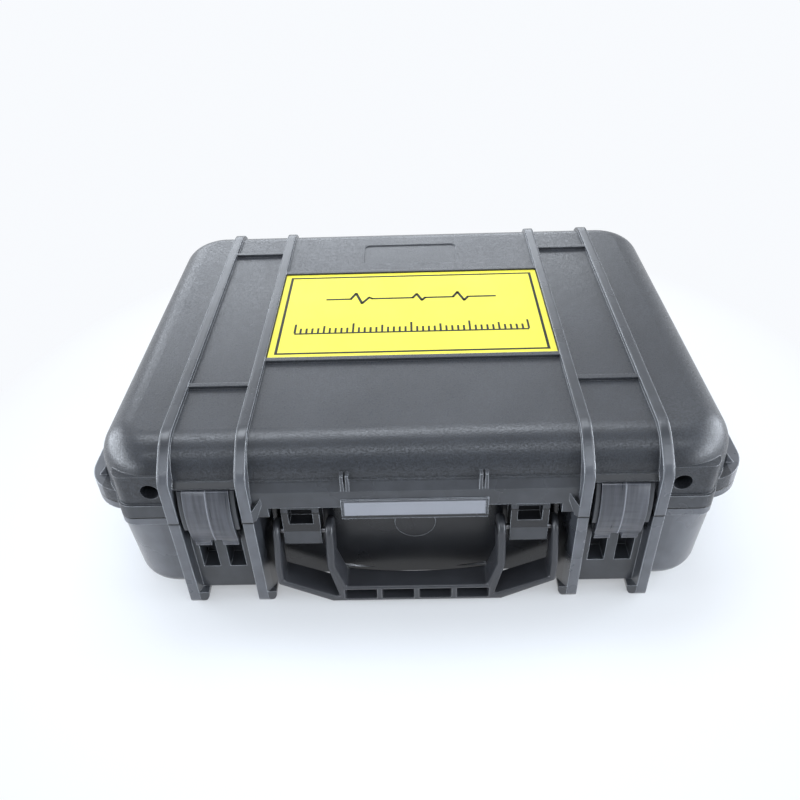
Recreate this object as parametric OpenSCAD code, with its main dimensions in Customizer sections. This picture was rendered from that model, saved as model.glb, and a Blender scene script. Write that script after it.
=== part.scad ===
// Rugged carrying case with a portable flaw detector and its two probes in foam.
// Z is up and the case lies on its feet. The handle and both latches face -Y.
// The origin lies on the floor, under the middle of the case.

/* [Case] */
// Width of the case body at the parting line
body_w = 416; // [390:2:440]
// Depth of the case body at the parting line
body_d = 320; // [300:2:340]
// Height of the base body without its feet
base_h = 75; // [68:1:85]
// Height of the lid above the parting line
lid_h = 53; // [48:1:60]
// Height of the feet below the base body
foot_h = 7; // [4:0.5:10]
// Corner radius of the body in plan
corner_r = 38; // [34:1:44]
// Radius of the lid's upper edge
lid_edge_r = 24; // [18:1:28]
// Radius of the base's lower edge
base_edge_r = 10; // [6:0.5:13]
// Lean of the base walls over their height
base_lean = 4; // [1:0.5:6]
// Lean of the lid walls over their height
lid_lean = 1; // [0.5:0.5:3]
// Wall thickness of both shells
wall = 3.5; // [3:0.25:4.5]
// Gap between the two rims when the case is shut
parting_gap = 0.4; // [0.2:0.1:0.8]

/* [Rim] */
// Overhang of the rim past the body at the sides
rim_side = 12.5; // [10:0.5:15]
// Overhang of the apron past the body at the front
rim_end = 3; // [2:0.5:4]
// Overhang of the rim past the body at the front corners and the back
rim_front = 1.5; // [1:0.25:2.5]
// Corner radius of the rim at the back
rim_r = 46; // [40:1:52]
// Corner radius of the rim's front ends
wing_r = 28; // [24:1:34]
// Distance of the rim's front ends from the body's front
wing_in = 13; // [10:1:16]
// Height of the lid's rim band
lid_rim_h = 11; // [9:0.5:13]
// Height of the base's rim band
base_rim_h = 6; // [4:0.5:8]
// Width of the land that carries the seal behind the bays
seal_land = 7; // [6:0.5:9]
// Width of the lid seal
seal_w = 2.5; // [2:0.25:2.75]
// Height of the lid seal
seal_h = 3; // [2:0.25:4]
// Thickness of the gussets on top of the side rim
gusset_t = 2.5; // [1.5:0.5:4]
// Height of the gussets on top of the side rim
gusset_h = 12; // [8:1:16]
// Distance of the gussets from the front and the back
gusset_in = 31; // [28:1:70]

/* [Guard ribs] */
// Distance of the inner guard ribs from the middle
rib_inner_x = 108.5; // [104:0.5:112]
// Width of the latch bays between two guard ribs
latch_bay_w = 41.5; // [39:0.5:44]
// Thickness of a guard rib
rib_t = 7; // [6:0.25:8]
// Height of the ribs on top of the lid
rib_h = 3; // [2:0.25:4]
// Reach of the front guard fins past the body
fin_reach = 8; // [7:0.5:10]
// Height above the parting line where the front fins reach full depth
fin_full_h = 37; // [34:0.5:39]
// Radius of the bend where the front fins reach full depth
fin_bend_r = 14; // [8:1:18]
// Height above the parting line where the fins leave the lid's rounded edge
fin_start_h = 49; // [46:0.5:51]
// Share of the lid's edge radius at which the fins leave it, from the front
fin_start_share = 0.27; // [0.2:0.01:0.35]
// Flare of the fins' roots towards the latches
fin_flare = 4.5; // [2:0.5:5]
// Flare of the inner fins' roots towards the handle
bay_flare = 8; // [5:0.5:9]
// Reach of the inner lid fins' side facets towards the handle
facet_reach = 10; // [6:0.5:11]
// Spread of a foot past its rib, towards the middle
foot_spread = 5; // [3.5:0.5:6.5]
// Height over which a front foot's spread fades into its fin
foot_fade = 6; // [4:0.5:8]
// Radius of the two long edges of a foot's sole
foot_round = 4.5; // [3.5:0.25:5.5]
// Length of a foot's flat sole
foot_sole_l = 8; // [6:0.5:12]
// Radius of a foot's toe
foot_toe = 7; // [5:0.5:8]

/* [Lid top] */
// Thickness of the cross ribs
cross_t = 4; // [3:0.25:5]
// Height of the cross ribs
cross_h = 2.5; // [1.75:0.25:3]
// Distance of the rear short cross ribs from the back
cross_rear_in = 55; // [50:1:64]
// Distance of the front short cross ribs from the front
cross_front_in = 70; // [60:1:80]
// Depth of the yellow plate
plate_d = 123.5; // [110:0.5:126]
// Distance of the plate's centre behind the middle
plate_y = 3.5; // [0:0.5:8]
// Thickness of the yellow plate
plate_t = 1.2; // [0.8:0.1:1.6]
// Gap around the yellow plate
plate_gap = 0.6; // [0.3:0.1:1]
// Width of the bare recessed panel behind the plate
panel_w = 80.5; // [50:0.5:90]
// Depth of the bare recessed panel
panel_d = 35; // [20:1:38]
// Sink of the bare recessed panel
panel_sink = 0.8; // [0.4:0.1:1.2]
// Corner radius of the bare recessed panel
panel_r = 4; // [2:0.5:6]
// Distance of the bare panel's centre from the back
panel_in = 57; // [55:0.5:63]

/* [Lid front] */
// Height of the apron's slope above the parting line
apron_top_h = 30; // [27:0.5:31]
// Height of the apron's lower step above the parting line
apron_step_h = 22; // [19:0.5:24]
// Height of the cut under the apron for the handle ears
apron_cut_h = 8; // [8:0.5:9]
// Distance between the name strip's holder and the handle ears
holder_gap = 15.5; // [12:0.5:20]
// Drop of the holder below the parting line
holder_drop = 1.5; // [1:0.5:4]
// Height of the holder above the name strip
holder_brow = 1.5; // [1:0.25:3]
// Stand of the holder before the rim
holder_proud = 1; // [0.5:0.25:2]
// Margin of the name strip in its holder
strip_margin = 2; // [1.5:0.25:4]
// Height of the name strip
strip_h = 11.5; // [8:0.5:12]
// Thickness of the name strip
strip_t = 0.8; // [0.6:0.1:1.2]
// Height of the strip's lower edge above the parting line
strip_rise = 2; // [1.5:0.5:5.5]
// Distance of the small twin ribs from the holder's ends
twin_in = 3.5; // [3:0.5:10]
// Width of one of the small twin ribs
twin_w = 2; // [1.5:0.25:2.5]
// Width of the channel between the small twin ribs
twin_gap = 1.5; // [1:0.25:2.5]
// Length of the small twin ribs
twin_l = 13; // [12:1:20]
// Distance of the padlock holes beyond the outer guard ribs
hole_out = 13; // [11:0.5:16]
// Radius of the padlock holes
hole_r = 6; // [4:0.25:6.5]
// Depth of the padlock holes
hole_depth = 12; // [9:0.5:13]
// Height of the padlock holes above the parting line
hole_h = 22; // [20.5:0.5:24]
// Length of the corner blocks beyond the outer guard ribs
block_l = 37; // [33:1:40]
// Height of the corner blocks above the parting line
block_h = 34.5; // [32:0.5:36]
// Corner radius of the corner blocks
block_r = 9; // [5:0.5:12]

/* [Bays in the base] */
// Depth of the handle bay and the latch bays
bay_depth = 14; // [12:0.5:16]
// Radius of the moulded disc on the bay's wall
disc_r = 14; // [10:0.5:18]
// Stand of the moulded disc
disc_proud = 1; // [0.3:0.1:1.2]
// Height of the moulded disc's centre above the base body
disc_h = 51.5; // [42:0.5:56]
// Width of the ladder's middle bar
bar_mid_w = 7; // [5:0.5:8]
// Width of the ladder's side bars
bar_side_w = 6; // [4:0.5:6.5]
// Height of the ladder's foot above the base body
ladder_foot_h = 4; // [2:0.5:8]
// Height of the ladder's solid foot bar
ladder_bar_h = 21; // [16:1:24]

/* [Latches] */
// Depth of the latch pin below the parting line
latch_pin_drop = 22; // [20:0.5:25]
// Distance of the latch pin behind the body's front
latch_pin_in = 5.5; // [5.25:0.25:6.5]
// Radius of the latch pin
latch_pin_r = 1.75; // [1.5:0.25:2.25]
// Radius of the latch knuckles
knuckle_r = 5; // [4.5:0.25:5]
// Height of the latch cover's top above the latch pin
cover_top_h = 48; // [46:0.5:48]
// Height of the latch cover's lower edge above the latch pin
cover_foot_h = 5; // [4.5:0.25:6]
// Thickness of the latch cover
cover_t = 2.6; // [2:0.1:2.8]
// Radius of the latch cover's bulge
cover_r = 60; // [56:1:66]
// Stand of the cover's bulge past the body's front
cover_bulge = 9.5; // [9.5:0.25:10.5]
// Width of the seam line down the latch cover
seam_w = 1; // [0.6:0.1:1.4]
// Stand of the seam line
seam_proud = 0.4; // [0.2:0.1:0.6]
// Thickness of the lever's cheeks
cheek_t = 3.2; // [2.5:0.25:4]
// Height of the claw pin above the latch pin
claw_pin_h = 20; // [18:0.5:22]
// Distance of the claw pin before the body's front
claw_pin_out = 2; // [1.5:0.25:2.25]
// Radius of the claw pin
claw_pin_r = 1.5; // [1.25:0.25:1.75]
// Gap between the claw and the guard ribs
claw_side_gap = 2.55; // [2.2:0.05:3]
// Thickness of the claw's flanges
claw_t = 2.8; // [2:0.2:2.8]
// Thickness of the claw's cross plate
claw_plate_t = 2; // [1.5:0.1:2]
// Height of the claw's cross plate
claw_plate_h = 8; // [6:0.5:10]
// Gap between the lever's cheeks and the claw's cross plate
claw_plate_gap = 4.5; // [3:0.25:6]
// Gap between moving faces of the latches
latch_gap = 0.4; // [0.3:0.1:0.6]
// Depth of the cut in the lid's rim behind each latch
rim_bay_in = 4; // [3:0.25:5]
// Stand of the lid's catch ledge past the body's front
catch_out = 3.5; // [2.5:0.25:4]
// Height of the lid's catch ledge
catch_h = 4.5; // [4:0.5:7]

/* [Handle] */
// Width of a handle ear
ear_w = 25; // [20:0.5:28]
// Height of a handle ear's top above the parting line
ear_top_h = 6.5; // [3:0.5:6.5]
// Stand of a handle ear's lower lip before its face
ear_lip = 1.5; // [0.5:0.25:3]
// Radius of a handle ear's lower lip
ear_lip_r = 3; // [1.5:0.25:4]
// Gap between the lid's apron and the bay behind the handle ears
ear_back_gap = 0.8; // [0.5:0.1:1.2]
// Width of the window in a handle ear
ear_window_w = 16; // [10:0.5:17]
// Height of the window in a handle ear
ear_window_h = 13.5; // [9:0.5:14]
// Depth of the window in a handle ear
ear_window_d = 9; // [5:0.5:11]
// Depth of the handle's pivot below the parting line
pivot_drop = 20; // [18:0.5:23]
// Distance of the handle's pivot behind the body's front
pivot_in = 4.4; // [4:0.2:5]
// Gap between the handle's eyes and the bay's wall
eye_gap = 0.6; // [0.4:0.1:1.4]
// Radius of the handle pins
handle_pin_r = 2; // [1.75:0.25:2.5]
// Gap between the handle's arms and its ears
arm_gap = 2.8; // [1.6:0.1:3.2]
// Gap between the handle's arms and the roots of the guard ribs
arm_side_gap = 1.7; // [1:0.1:3]
// Width of the handle's outer arms
arm_outer_w = 4.5; // [4:0.5:6]
// Width of the handle's inner arms
arm_inner_w = 5.5; // [4.5:0.5:7]
// Stand of the grip before the guard fins
grip_proud = 4; // [3:0.5:6]
// Depth of the grip, front to back
grip_d = 19; // [16:0.5:20]
// Height of the grip
grip_h = 15; // [13:0.5:17]
// Height of the grip's underside above the floor
grip_z = 6; // [5:0.5:8]
// Reach of the grip's straight underside past the inner arms
grip_past_arm = 4.2; // [2:0.2:6]
// Thickness of the slanted bars beside the grip
slant_t = 6; // [5:0.5:8]
// Height of the handle's outer corners above the floor
elbow_z = 25; // [23:0.5:28]
// Height of the inner arms' bend above the floor
bend_z = 42; // [38:0.5:45]
// Number of pockets in the grip's face
pockets = 4; // [3:1:5]
// Width of the webs between the pockets
pocket_web = 3.8; // [3:0.2:5]
// Depth of the pockets
pocket_d = 12; // [6:0.5:14]
// Wall above and below the pockets
pocket_wall = 2.6; // [2:0.2:3.4]
// Drop of the arch along the grip's back edge
grip_arch = 4; // [2:0.5:5]

/* [Hinge] */
// Distance of the hinge pins behind the body
hinge_out = 6; // [5.5:0.25:6.25]
// Radius of the hinge knuckles
hinge_r = 5.5; // [5:0.25:5.75]
// Radius of the hinge pins
hinge_pin_r = 2; // [1.5:0.25:2.5]
// Width of the lid's hinge knuckle
hinge_mid_w = 20; // [16:0.5:24]
// Gap beside the hinge knuckles
hinge_gap = 0.5; // [0.3:0.1:0.8]
// Chamfer on top of the rear fins
rear_chamfer = 12; // [10:1:16]
// Running clearance of every pin in its bore
run_fit = 0.05; // [0.02:0.01:0.08]
// Clearance of every pin in the bore that holds it
hold_fit = 0.02; // [0.01:0.01:0.03]

/* [Foam] */
// Depth of the base foam below the parting line
foam_drop = 6; // [4:0.5:9]
// Gap around each piece of foam
foam_fit = 0.3; // [0.2:0.05:0.5]
// Thickness of the foam under the instrument
foam_bed = 10; // [8:0.5:12]
// Height of the ridges on the lid foam
ridge_h = 11; // [6:0.5:12]
// Number of ridges on the lid foam
ridges = 12; // [8:1:16]
// Distance of the lid foam above the lid's rim band
lid_foam_up = 1; // [0.5:0.5:3]
// Margin between pockets and around them
pocket_margin = 16; // [13:1:18]
// Depth of the pocket for leads and charger
lead_depth = 45; // [30:1:52]
// Radius of the finger notches
notch_r = 10; // [7:0.5:11]
// Corner radius of the foam pockets
pocket_r = 5; // [3:0.5:8]

/* [Instrument] */
// Width of the compartment beside the instrument
side_w = 103; // [94:1:120]
// Depth of the instrument over its bumpers
inst_d = 160; // [146:2:164]
// Thickness of the instrument's housing
inst_h = 48; // [44:0.5:50]
// Corner radius of the instrument's housing
inst_r = 12; // [8:0.5:14]
// Wall of the instrument's housing
inst_wall = 2.5; // [2:0.25:3]
// Height of the instrument's front housing
front_h = 18; // [16:0.5:20]
// Thickness of the bumpers
bumper_t = 4; // [3:0.25:5]
// Length of each bumper along the housing
bumper_l = 26; // [18:1:34]
// Stand of the bumpers below the housing
bumper_foot = 1.5; // [1:0.25:2]
// Thickness of the seal between the housings
inst_seal_t = 1.5; // [1:0.25:2]
// Margin on the front around the screen, keys and knob
front_margin = 20; // [16:0.5:22]
// Depth of the bare strip before the screen
front_strip = 24; // [16:1:30]
// Land under the window glass
glass_land = 4; // [3:0.5:5]
// Thickness of the window glass
glass_t = 1.5; // [1:0.1:1.8]
// Gap around the window glass
glass_gap = 0.2; // [0.1:0.05:0.4]

/* [Keys and knob] */
// Width of a key
key_w = 16; // [12:0.5:17]
// Depth of a key
key_d = 10; // [8:0.5:12]
// Pitch of the key columns
key_pitch_x = 24; // [22:0.5:26]
// Pitch of the key rows
key_pitch_y = 17; // [15:0.5:19]
// Stand of a key above the front
key_proud = 2; // [1.5:0.25:3]
// Corner radius of a key
key_r = 3; // [2:0.25:4]
// Gap around a key in its opening
key_gap = 0.4; // [0.3:0.05:0.6]
// Flange that holds a key in
key_flange = 1; // [0.8:0.1:1.4]
// Travel of a key
key_travel = 1; // [0.6:0.1:1.2]
// Radius of the rotary knob
knob_r = 14; // [11:0.5:16]
// Height of the rotary knob
knob_h = 10; // [8:0.5:11]
// Radius of the knob's shaft
shaft_r = 3; // [2:0.25:3.5]
// Gap under the rotary knob
knob_gap = 0.5; // [0.3:0.1:0.8]
// Number of grip flutes round the knob
flutes = 16; // [12:1:24]
// Radius of a grip flute
flute_r = 1.2; // [0.8:0.1:1.6]

/* [Inside the instrument] */
// Thickness of the main board
board_t = 1.6; // [1.2:0.1:2]
// Margin between the main board and the housing
board_margin = 6; // [4:0.5:8]
// Thickness of the screen module
lcd_t = 6; // [5:0.25:7]
// Radius of the board's posts
post_r = 4; // [3:0.25:5]
// Radius of the screws' shanks
screw_r = 1.25; // [1:0.05:1.5]
// Radius of the screws' heads
head_r = 2.6; // [2.2:0.1:3]
// Height of the screws' heads
head_h = 1.8; // [1.4:0.1:2.2]
// Length of the screws' shanks
screw_l = 8; // [6:0.5:10]
// Width of the battery pack
battery_w = 130; // [110:2:140]
// Depth of the battery pack
battery_d = 62; // [50:1:70]
// Thickness of the battery pack
battery_t = 20; // [16:0.5:21]
// Land round the battery door
door_land = 4; // [3:0.25:5]
// Radius of a probe socket's barrel
socket_r = 5.5; // [4.5:0.25:6]
// Length of a probe socket's barrel
socket_l = 9; // [7:0.5:11]
// Radius of a probe socket's flange
socket_flange_r = 8; // [7:0.25:9]
// Thickness of a probe socket's flange
socket_flange_t = 2.5; // [2:0.25:3]
// Pitch of the two probe sockets
socket_pitch = 26; // [22:1:32]

/* [Probes] */
// Radius of the straight probe
probe_r = 14; // [11:0.5:15]
// Height of the straight probe
probe_h = 20; // [16:0.5:24]
// Thickness of the straight probe's wear face
face_t = 1.5; // [1:0.1:2]
// Radius of the wear faces' inset
face_inset = 1; // [0.5:0.1:1.5]
// Length of the angle probe's wedge
wedge_l = 30; // [26:0.5:32]
// Width of the angle probe
wedge_w = 18; // [14:0.5:20]
// Height of the angle probe's wedge
wedge_h = 12; // [10:0.5:14]
// Slope of the angle probe's wedge
wedge_angle = 30; // [20:1:36]
// Height of the angle probe's case along the slope
anglecase_h = 10; // [8:0.5:12]
// Radius of the probes' small sockets
plug_r = 3; // [2.5:0.1:3.5]
// Length of the probes' small sockets
plug_l = 6; // [4:0.5:8]

/* [Hidden] */
$fn = 64;

black = [0.09, 0.09, 0.1];
soft_black = [0.13, 0.13, 0.14];
foam_grey = [0.2, 0.2, 0.21];
rubber = [0.05, 0.05, 0.05];
steel = [0.72, 0.73, 0.75];
yellow = [0.96, 0.86, 0.16];
label_grey = [0.62, 0.64, 0.67];
housing_blue = [0.16, 0.27, 0.4];
housing_grey = [0.78, 0.79, 0.78];
board_green = [0.05, 0.32, 0.16];

// One overrun serves every cut
cut = 1;

half_w = body_w / 2;
half_d = body_d / 2;
parting_z = foot_h + base_h;
lid_top = parting_z + lid_h;
lid_foot = parting_z + parting_gap;
rim_top = parting_z + lid_rim_h;
fin_front = half_d + fin_reach;
rear_reach = fin_front + grip_proud;
bay_wall_y = half_d - bay_depth;
inner_front = bay_wall_y - seal_land;
foot_in = -rib_t / 2 - foot_spread;
inner_disc_y = wall - bay_wall_y;
rib_outer_x = rib_inner_x + latch_bay_w + rib_t;
latch_x = (rib_outer_x + rib_inner_x) / 2;
latch_bay_half = latch_bay_w / 2;
handle_bay_half = rib_inner_x - rib_t / 2;
ear_x = handle_bay_half - bay_flare - arm_side_gap - arm_outer_w - arm_gap - ear_w / 2;
ear_in = ear_x - ear_w / 2;
holder_w = 2 * (ear_in - holder_gap);
strip_w = holder_w - 2 * strip_margin;
twin_x = holder_w / 2 - twin_in;
apron_end_x = handle_bay_half - facet_reach;
hole_x = rib_outer_x + hole_out;
block_end_x = rib_outer_x + block_l;
gusset_y = half_d - gusset_in;
cross_rear_y = half_d - cross_rear_in;
cross_front_y = half_d - cross_front_in;
panel_y = half_d - panel_in;

// Inside of the base, and of the rims where they meet
cav_w = body_w - 2 * wall;
cav_d = inner_front + half_d - wall;
cav_y = (half_d - wall - inner_front) / 2;
cav_r = corner_r - wall;
cav_h = base_h - wall;
lid_cav_h = lid_h - lid_rim_h - wall;

seal_half_w = half_w + seal_w / 4;
seal_back = (half_d - wall + half_d + hinge_out - hinge_r - hinge_gap) / 2;
seal_front = bay_wall_y - seal_land / 2;
seal_mid_y = (seal_back - seal_front) / 2;
seal_d = seal_back + seal_front;
seal_r = cav_r + seal_w / 2;

latch_pin_z = parting_z - latch_pin_drop;
claw_w = latch_bay_w - 2 * claw_side_gap;
cover_w = claw_w - 2 * claw_t - 2 * latch_gap;
latch_pin_y = -half_d + latch_pin_in;
cover_mid_z = latch_pin_z + (cover_top_h + cover_foot_h) / 2 - cover_foot_h / 4;
cover_axis_y = -half_d - cover_bulge + cover_r;
claw_pin_z = latch_pin_z + claw_pin_h;
cheek_z = claw_pin_z + claw_pin_r * 3;
claw_pin_y = -half_d - claw_pin_out;
bar_r = latch_pin_in;
window_in = bar_mid_w / 2 + latch_gap;
window_out = latch_bay_half - bar_side_w - latch_gap;
cheek_out = min(window_out, cover_w / 2);
rim_bay_y = half_d - rim_bay_in;
catch_z = latch_pin_z + cover_top_h + latch_gap;

pivot_y = -half_d + pivot_in;
pivot_z = parting_z - pivot_drop;
eye_r = bay_depth - pivot_in - eye_gap;
arm_in_0 = ear_x - ear_w / 2 - arm_gap - arm_inner_w;
arm_in_1 = ear_x - ear_w / 2 - arm_gap;
arm_out_0 = ear_x + ear_w / 2 + arm_gap;
arm_out_1 = arm_out_0 + arm_outer_w;
grip_half_w = arm_in_0 + grip_past_arm;
grip_front = -fin_front - grip_proud;

hinge_y = half_d + hinge_out;
plate_w = 2 * (handle_bay_half - plate_gap);

foam_top = parting_z - foam_drop;
foam_floor = foot_h + wall;
bed_z = foam_floor + foam_bed;
inst_z = bed_z + bumper_foot;
inst_top = inst_z + inst_h;
seam_z = inst_top - front_h;
inst_w = cav_w - 2 * base_lean - 3 * pocket_margin - side_w;
inst_x = -cav_w / 2 + base_lean + pocket_margin + inst_w / 2;
inst_y = cav_y + cav_d / 2 - base_lean - pocket_margin - socket_l - socket_flange_t - inst_d / 2;
side_x = inst_x + inst_w / 2 + pocket_margin;
house_w = inst_w - 2 * bumper_t;
house_d = inst_d - 2 * bumper_t;
keys_w = key_pitch_x + key_w + 2 * key_flange;
keys_d = 2 * key_pitch_y + key_d;
keys_x = house_w / 2 - front_margin - keys_w / 2;
keys_y = house_d / 2 - front_margin - keys_d / 2;
screen_w = house_w - keys_w - 3 * front_margin;
screen_d = house_d - 2 * front_margin - front_strip;
screen_x = (house_w - screen_w) / 2 - front_margin;
screen_y = (house_d - screen_d) / 2 - front_margin;
board_z = inst_top - inst_wall - lcd_t - board_t;
knob_x = inst_x + keys_x;
knob_y = house_d / 2 - front_margin - knob_r;
knob_z = inst_top + knob_gap;
socket_z = seam_z - socket_flange_r - inst_wall;
probe_bed = foam_top - probe_h - plug_l;
probe_x = side_x + probe_r + foam_fit;
probe_y = cav_y + cav_d / 2 - base_lean - pocket_margin - probe_r;
wedge_x = side_x + side_w - wedge_w / 2 - foam_fit;
wedge_y = probe_y - wedge_l / 2;
lid_foam_z = rim_top + lid_foam_up;

// Outline of one wall, from the corner's axis outwards and from its foot up
module wall_profile(r, h, e, lean) {
    difference() {
        polygon([[0, 0], [r, 0], [r - lean, h - e], [r - lean, h], [0, h]]);
        translate([r - lean - e, h - e]) difference() {
            square(2 * e);
            circle(e);
        }
    }
}

// Rounded box whose walls lean and whose upper edge is rounded
module tray(w, d, r, h, e, lean) {
    cx = w / 2 - r;
    cy = d / 2 - r;
    for (i = [0:3]) {
        a = i % 2 == 0 ? cx : cy;
        b = i % 2 == 0 ? cy : cx;
        rotate(90 * i) translate([a, b, 0]) rotate_extrude(angle = 90) wall_profile(r, h, e, lean);
        rotate(90 * i) translate([a, b, 0]) rotate([90, 0, 0])
            linear_extrude(2 * b) wall_profile(r, h, e, lean);
    }
    translate([-cx, -cy, 0]) cube([2 * cx, 2 * cy, h]);
}

// The same box with its rounded edge below, hanging from a plane
module hung_tray(w, d, r, h, e, lean) {
    mirror([0, 0, 1]) tray(w, d, r, h, e, lean);
}

// Rectangle with round corners, centred
module round_rect(w, d, r) {
    square([w - 2 * r, d], center = true);
    square([w, d - 2 * r], center = true);
    for (x = [-1, 1], y = [-1, 1]) translate([x * (w / 2 - r), y * (d / 2 - r)]) circle(r);
}

// Side view, drawn in Y and Z, drawn out along X from a to b
module along_x(a, b) {
    translate([a, 0, 0]) rotate([90, 0, 90]) linear_extrude(b - a) children();
}

// Front view, drawn in X and Z, drawn out along Y from a to b
module along_y(a, b) {
    translate([0, b, 0]) rotate([90, 0, 0]) linear_extrude(b - a) children();
}

// Cylinder along X from a to b
module rod_x(r, a, b, y, z) {
    translate([a, y, z]) rotate([0, 90, 0]) cylinder(r = r, h = b - a);
}

// Both sides of the case
module both_sides() {
    children();
    mirror([1, 0, 0]) children();
}

// Opening of the base and of the rims where they meet
module mouth(from_z, to_z) {
    translate([0, cav_y, from_z]) linear_extrude(to_z - from_z) round_rect(cav_w, cav_d, cav_r);
}

// Plan of the rim: a full band at the back, wings at the sides and a narrow collar in front
module rim_plan() {
    rim_w = body_w + 2 * rim_side;
    intersection() {
        round_rect(rim_w, body_d + 2 * rim_front, rim_r);
        translate([-rim_w / 2, 0]) square([rim_w, body_d]);
    }
    intersection() {
        union() {
            round_rect(rim_w, body_d - 2 * wing_in, wing_r);
            round_rect(2 * (block_end_x + rim_front), body_d + 2 * rim_front, block_r + rim_front);
        }
        translate([-rim_w / 2, -body_d]) square([rim_w, body_d + cut]);
    }
}

module rim_band(from_z, to_z) {
    translate([0, 0, from_z]) linear_extrude(to_z - from_z) rim_plan();
}

// Plan of a bay cut into the front, wider at its mouth
module bay(half_mouth, half_wall, from_z, to_z) {
    translate([0, 0, from_z]) linear_extrude(to_z - from_z) polygon([
        [-half_mouth, -fin_front], [-half_mouth, -rear_reach - cut], [half_mouth, -rear_reach - cut],
        [half_mouth, -fin_front], [half_wall, -bay_wall_y], [-half_wall, -bay_wall_y]
    ]);
}

module front_bays(from_z, to_z) {
    bay(handle_bay_half, handle_bay_half - bay_flare, from_z, to_z);
    both_sides() translate([latch_x, 0, 0])
        bay(latch_bay_half, latch_bay_half - fin_flare, from_z, to_z);
}

// Side view of a foot and the fin above it, towards +Y
module foot_side(inner, reach, top, chamfer) {
    polygon([
        [inner, foot_h], [reach - foot_sole_l - foot_toe - foot_h, foot_h],
        [reach - foot_sole_l - foot_toe, 0], [reach - foot_toe, 0], [reach, foot_toe],
        [reach, top - chamfer], [reach - chamfer * rear_slope_share, top], [inner, top]
    ]);
    translate([reach - foot_toe, foot_toe]) circle(foot_toe);
}
rear_slope_share = 0.6;

// Front view of the foot under a right-hand rib, with both edges of its sole rounded
module foot_sole() {
    polygon([
        [foot_in, foot_h], [foot_in, foot_round], [foot_in + foot_round, 0],
        [rib_t / 2 - foot_round, 0], [rib_t / 2, foot_round], [rib_t / 2, foot_h]
    ]);
    for (x = [foot_in + foot_round, rib_t / 2 - foot_round]) translate([x, foot_round]) circle(foot_round);
}

// Front view that narrows every foot down to its sole
module foot_front() {
    translate([0, foot_h]) translate([-half_w, 0]) square([body_w, base_h]);
    for (s = [0, 1], x = [rib_inner_x, rib_outer_x]) mirror([s, 0]) translate([x, 0]) foot_sole();
}

module base_front_slab() {
    intersection() {
        along_x(-rib_outer_x - rib_t / 2, rib_outer_x + rib_t / 2)
            mirror([1, 0]) foot_side(inner_front, fin_front, parting_z, 0);
        along_y(-fin_front - cut, -inner_front + cut) foot_front();
    }
}

// Root of a front foot, which spreads towards the middle and fades into the fin above it
module foot_root() {
    top = foot_h + foot_fade;
    intersection() {
        along_x(foot_in - cut, rib_t / 2) mirror([1, 0]) foot_side(inner_front, fin_front, top, 0);
        along_y(-fin_front - cut, -inner_front + cut) {
            foot_sole();
            polygon([
                [foot_in, foot_round], [rib_t / 2, foot_round], [rib_t / 2, top],
                [-rib_t / 2, top], [foot_in, foot_h]
            ]);
        }
        linear_extrude(top) polygon([
            [rib_t / 2, -fin_front], [-rib_t / 2, -fin_front], [foot_in, -fin_front + foot_spread],
            [foot_in, -inner_front], [rib_t / 2, -inner_front]
        ]);
    }
}

module rear_fins() {
    intersection() {
        for (x = [-rib_outer_x, -rib_inner_x, rib_inner_x, rib_outer_x])
            along_x(x - rib_t / 2, x + rib_t / 2)
                foot_side(half_d - corner_r, rear_reach, parting_z - parting_gap, rear_chamfer);
        along_y(half_d - corner_r - cut, rear_reach + cut) foot_front();
    }
}

// Bars that carry one latch, with the foot bar under them
module ladder() {
    foot_z = foot_h + ladder_foot_h;
    spans = [
        [-latch_bay_half, -latch_bay_half + bar_side_w], [-bar_mid_w / 2, bar_mid_w / 2],
        [latch_bay_half - bar_side_w, latch_bay_half]
    ];
    for (s = spans) along_x(s[0], s[1]) {
        translate([-half_d, foot_z]) square([bay_depth + cut, latch_pin_z - foot_z]);
        translate([latch_pin_y, latch_pin_z]) circle(bar_r);
    }
    translate([-latch_bay_half, -half_d, foot_z])
        cube([2 * latch_bay_half, bay_depth + cut, ladder_bar_h]);
}

module handle_ear() {
    foot_z = pivot_z - eye_r;
    window_z = parting_z + ear_top_h - pocket_wall - ear_window_h;
    lip_y = -half_d - ear_lip;
    difference() {
        along_x(-ear_w / 2, ear_w / 2) {
            translate([lip_y + ear_lip_r, foot_z + ear_lip_r]) circle(ear_lip_r);
            polygon([
                [-half_d, window_z], [lip_y, foot_z + ear_lip_r], [lip_y + ear_lip_r, foot_z],
                [pivot_y, foot_z], [pivot_y, window_z]
            ]);
            translate([-half_d, pivot_z])
                square([bay_depth - ear_back_gap, parting_z + ear_top_h - pivot_z]);
            translate([-half_d, pivot_z]) square([bay_depth + cut, parting_z - pivot_z]);
            translate([pivot_y, pivot_z - eye_r]) square([bay_depth - pivot_in + cut, 2 * eye_r]);
        }
        translate([-ear_window_w / 2, -half_d - cut, window_z])
            cube([ear_window_w, ear_window_d + cut, ear_window_h]);
        rod_x(handle_pin_r + hold_fit, -ear_w / 2 - cut, ear_w / 2 + cut, pivot_y, pivot_z);
    }
}

// Web that ties a hinge knuckle to its rim
module hinge_knuckle(a, b, up) {
    web_h = hinge_r;
    rod_x(hinge_r, a, b, hinge_y, parting_z);
    translate([a, half_d - wall, up ? lid_foot : parting_z - web_h])
        cube([b - a, hinge_out + wall, web_h]);
}

module hinge_notch(a, b) {
    rod_x(hinge_r + hinge_gap, a - hinge_gap, b + hinge_gap, hinge_y, parting_z);
}

module hinge_bore(fit) {
    rod_x(hinge_pin_r + fit, -latch_bay_half - rib_t, latch_bay_half + rib_t, hinge_y, parting_z);
}

hinge_end = latch_bay_half - hinge_gap;
hinge_inner = hinge_mid_w / 2 + hinge_gap;

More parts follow.
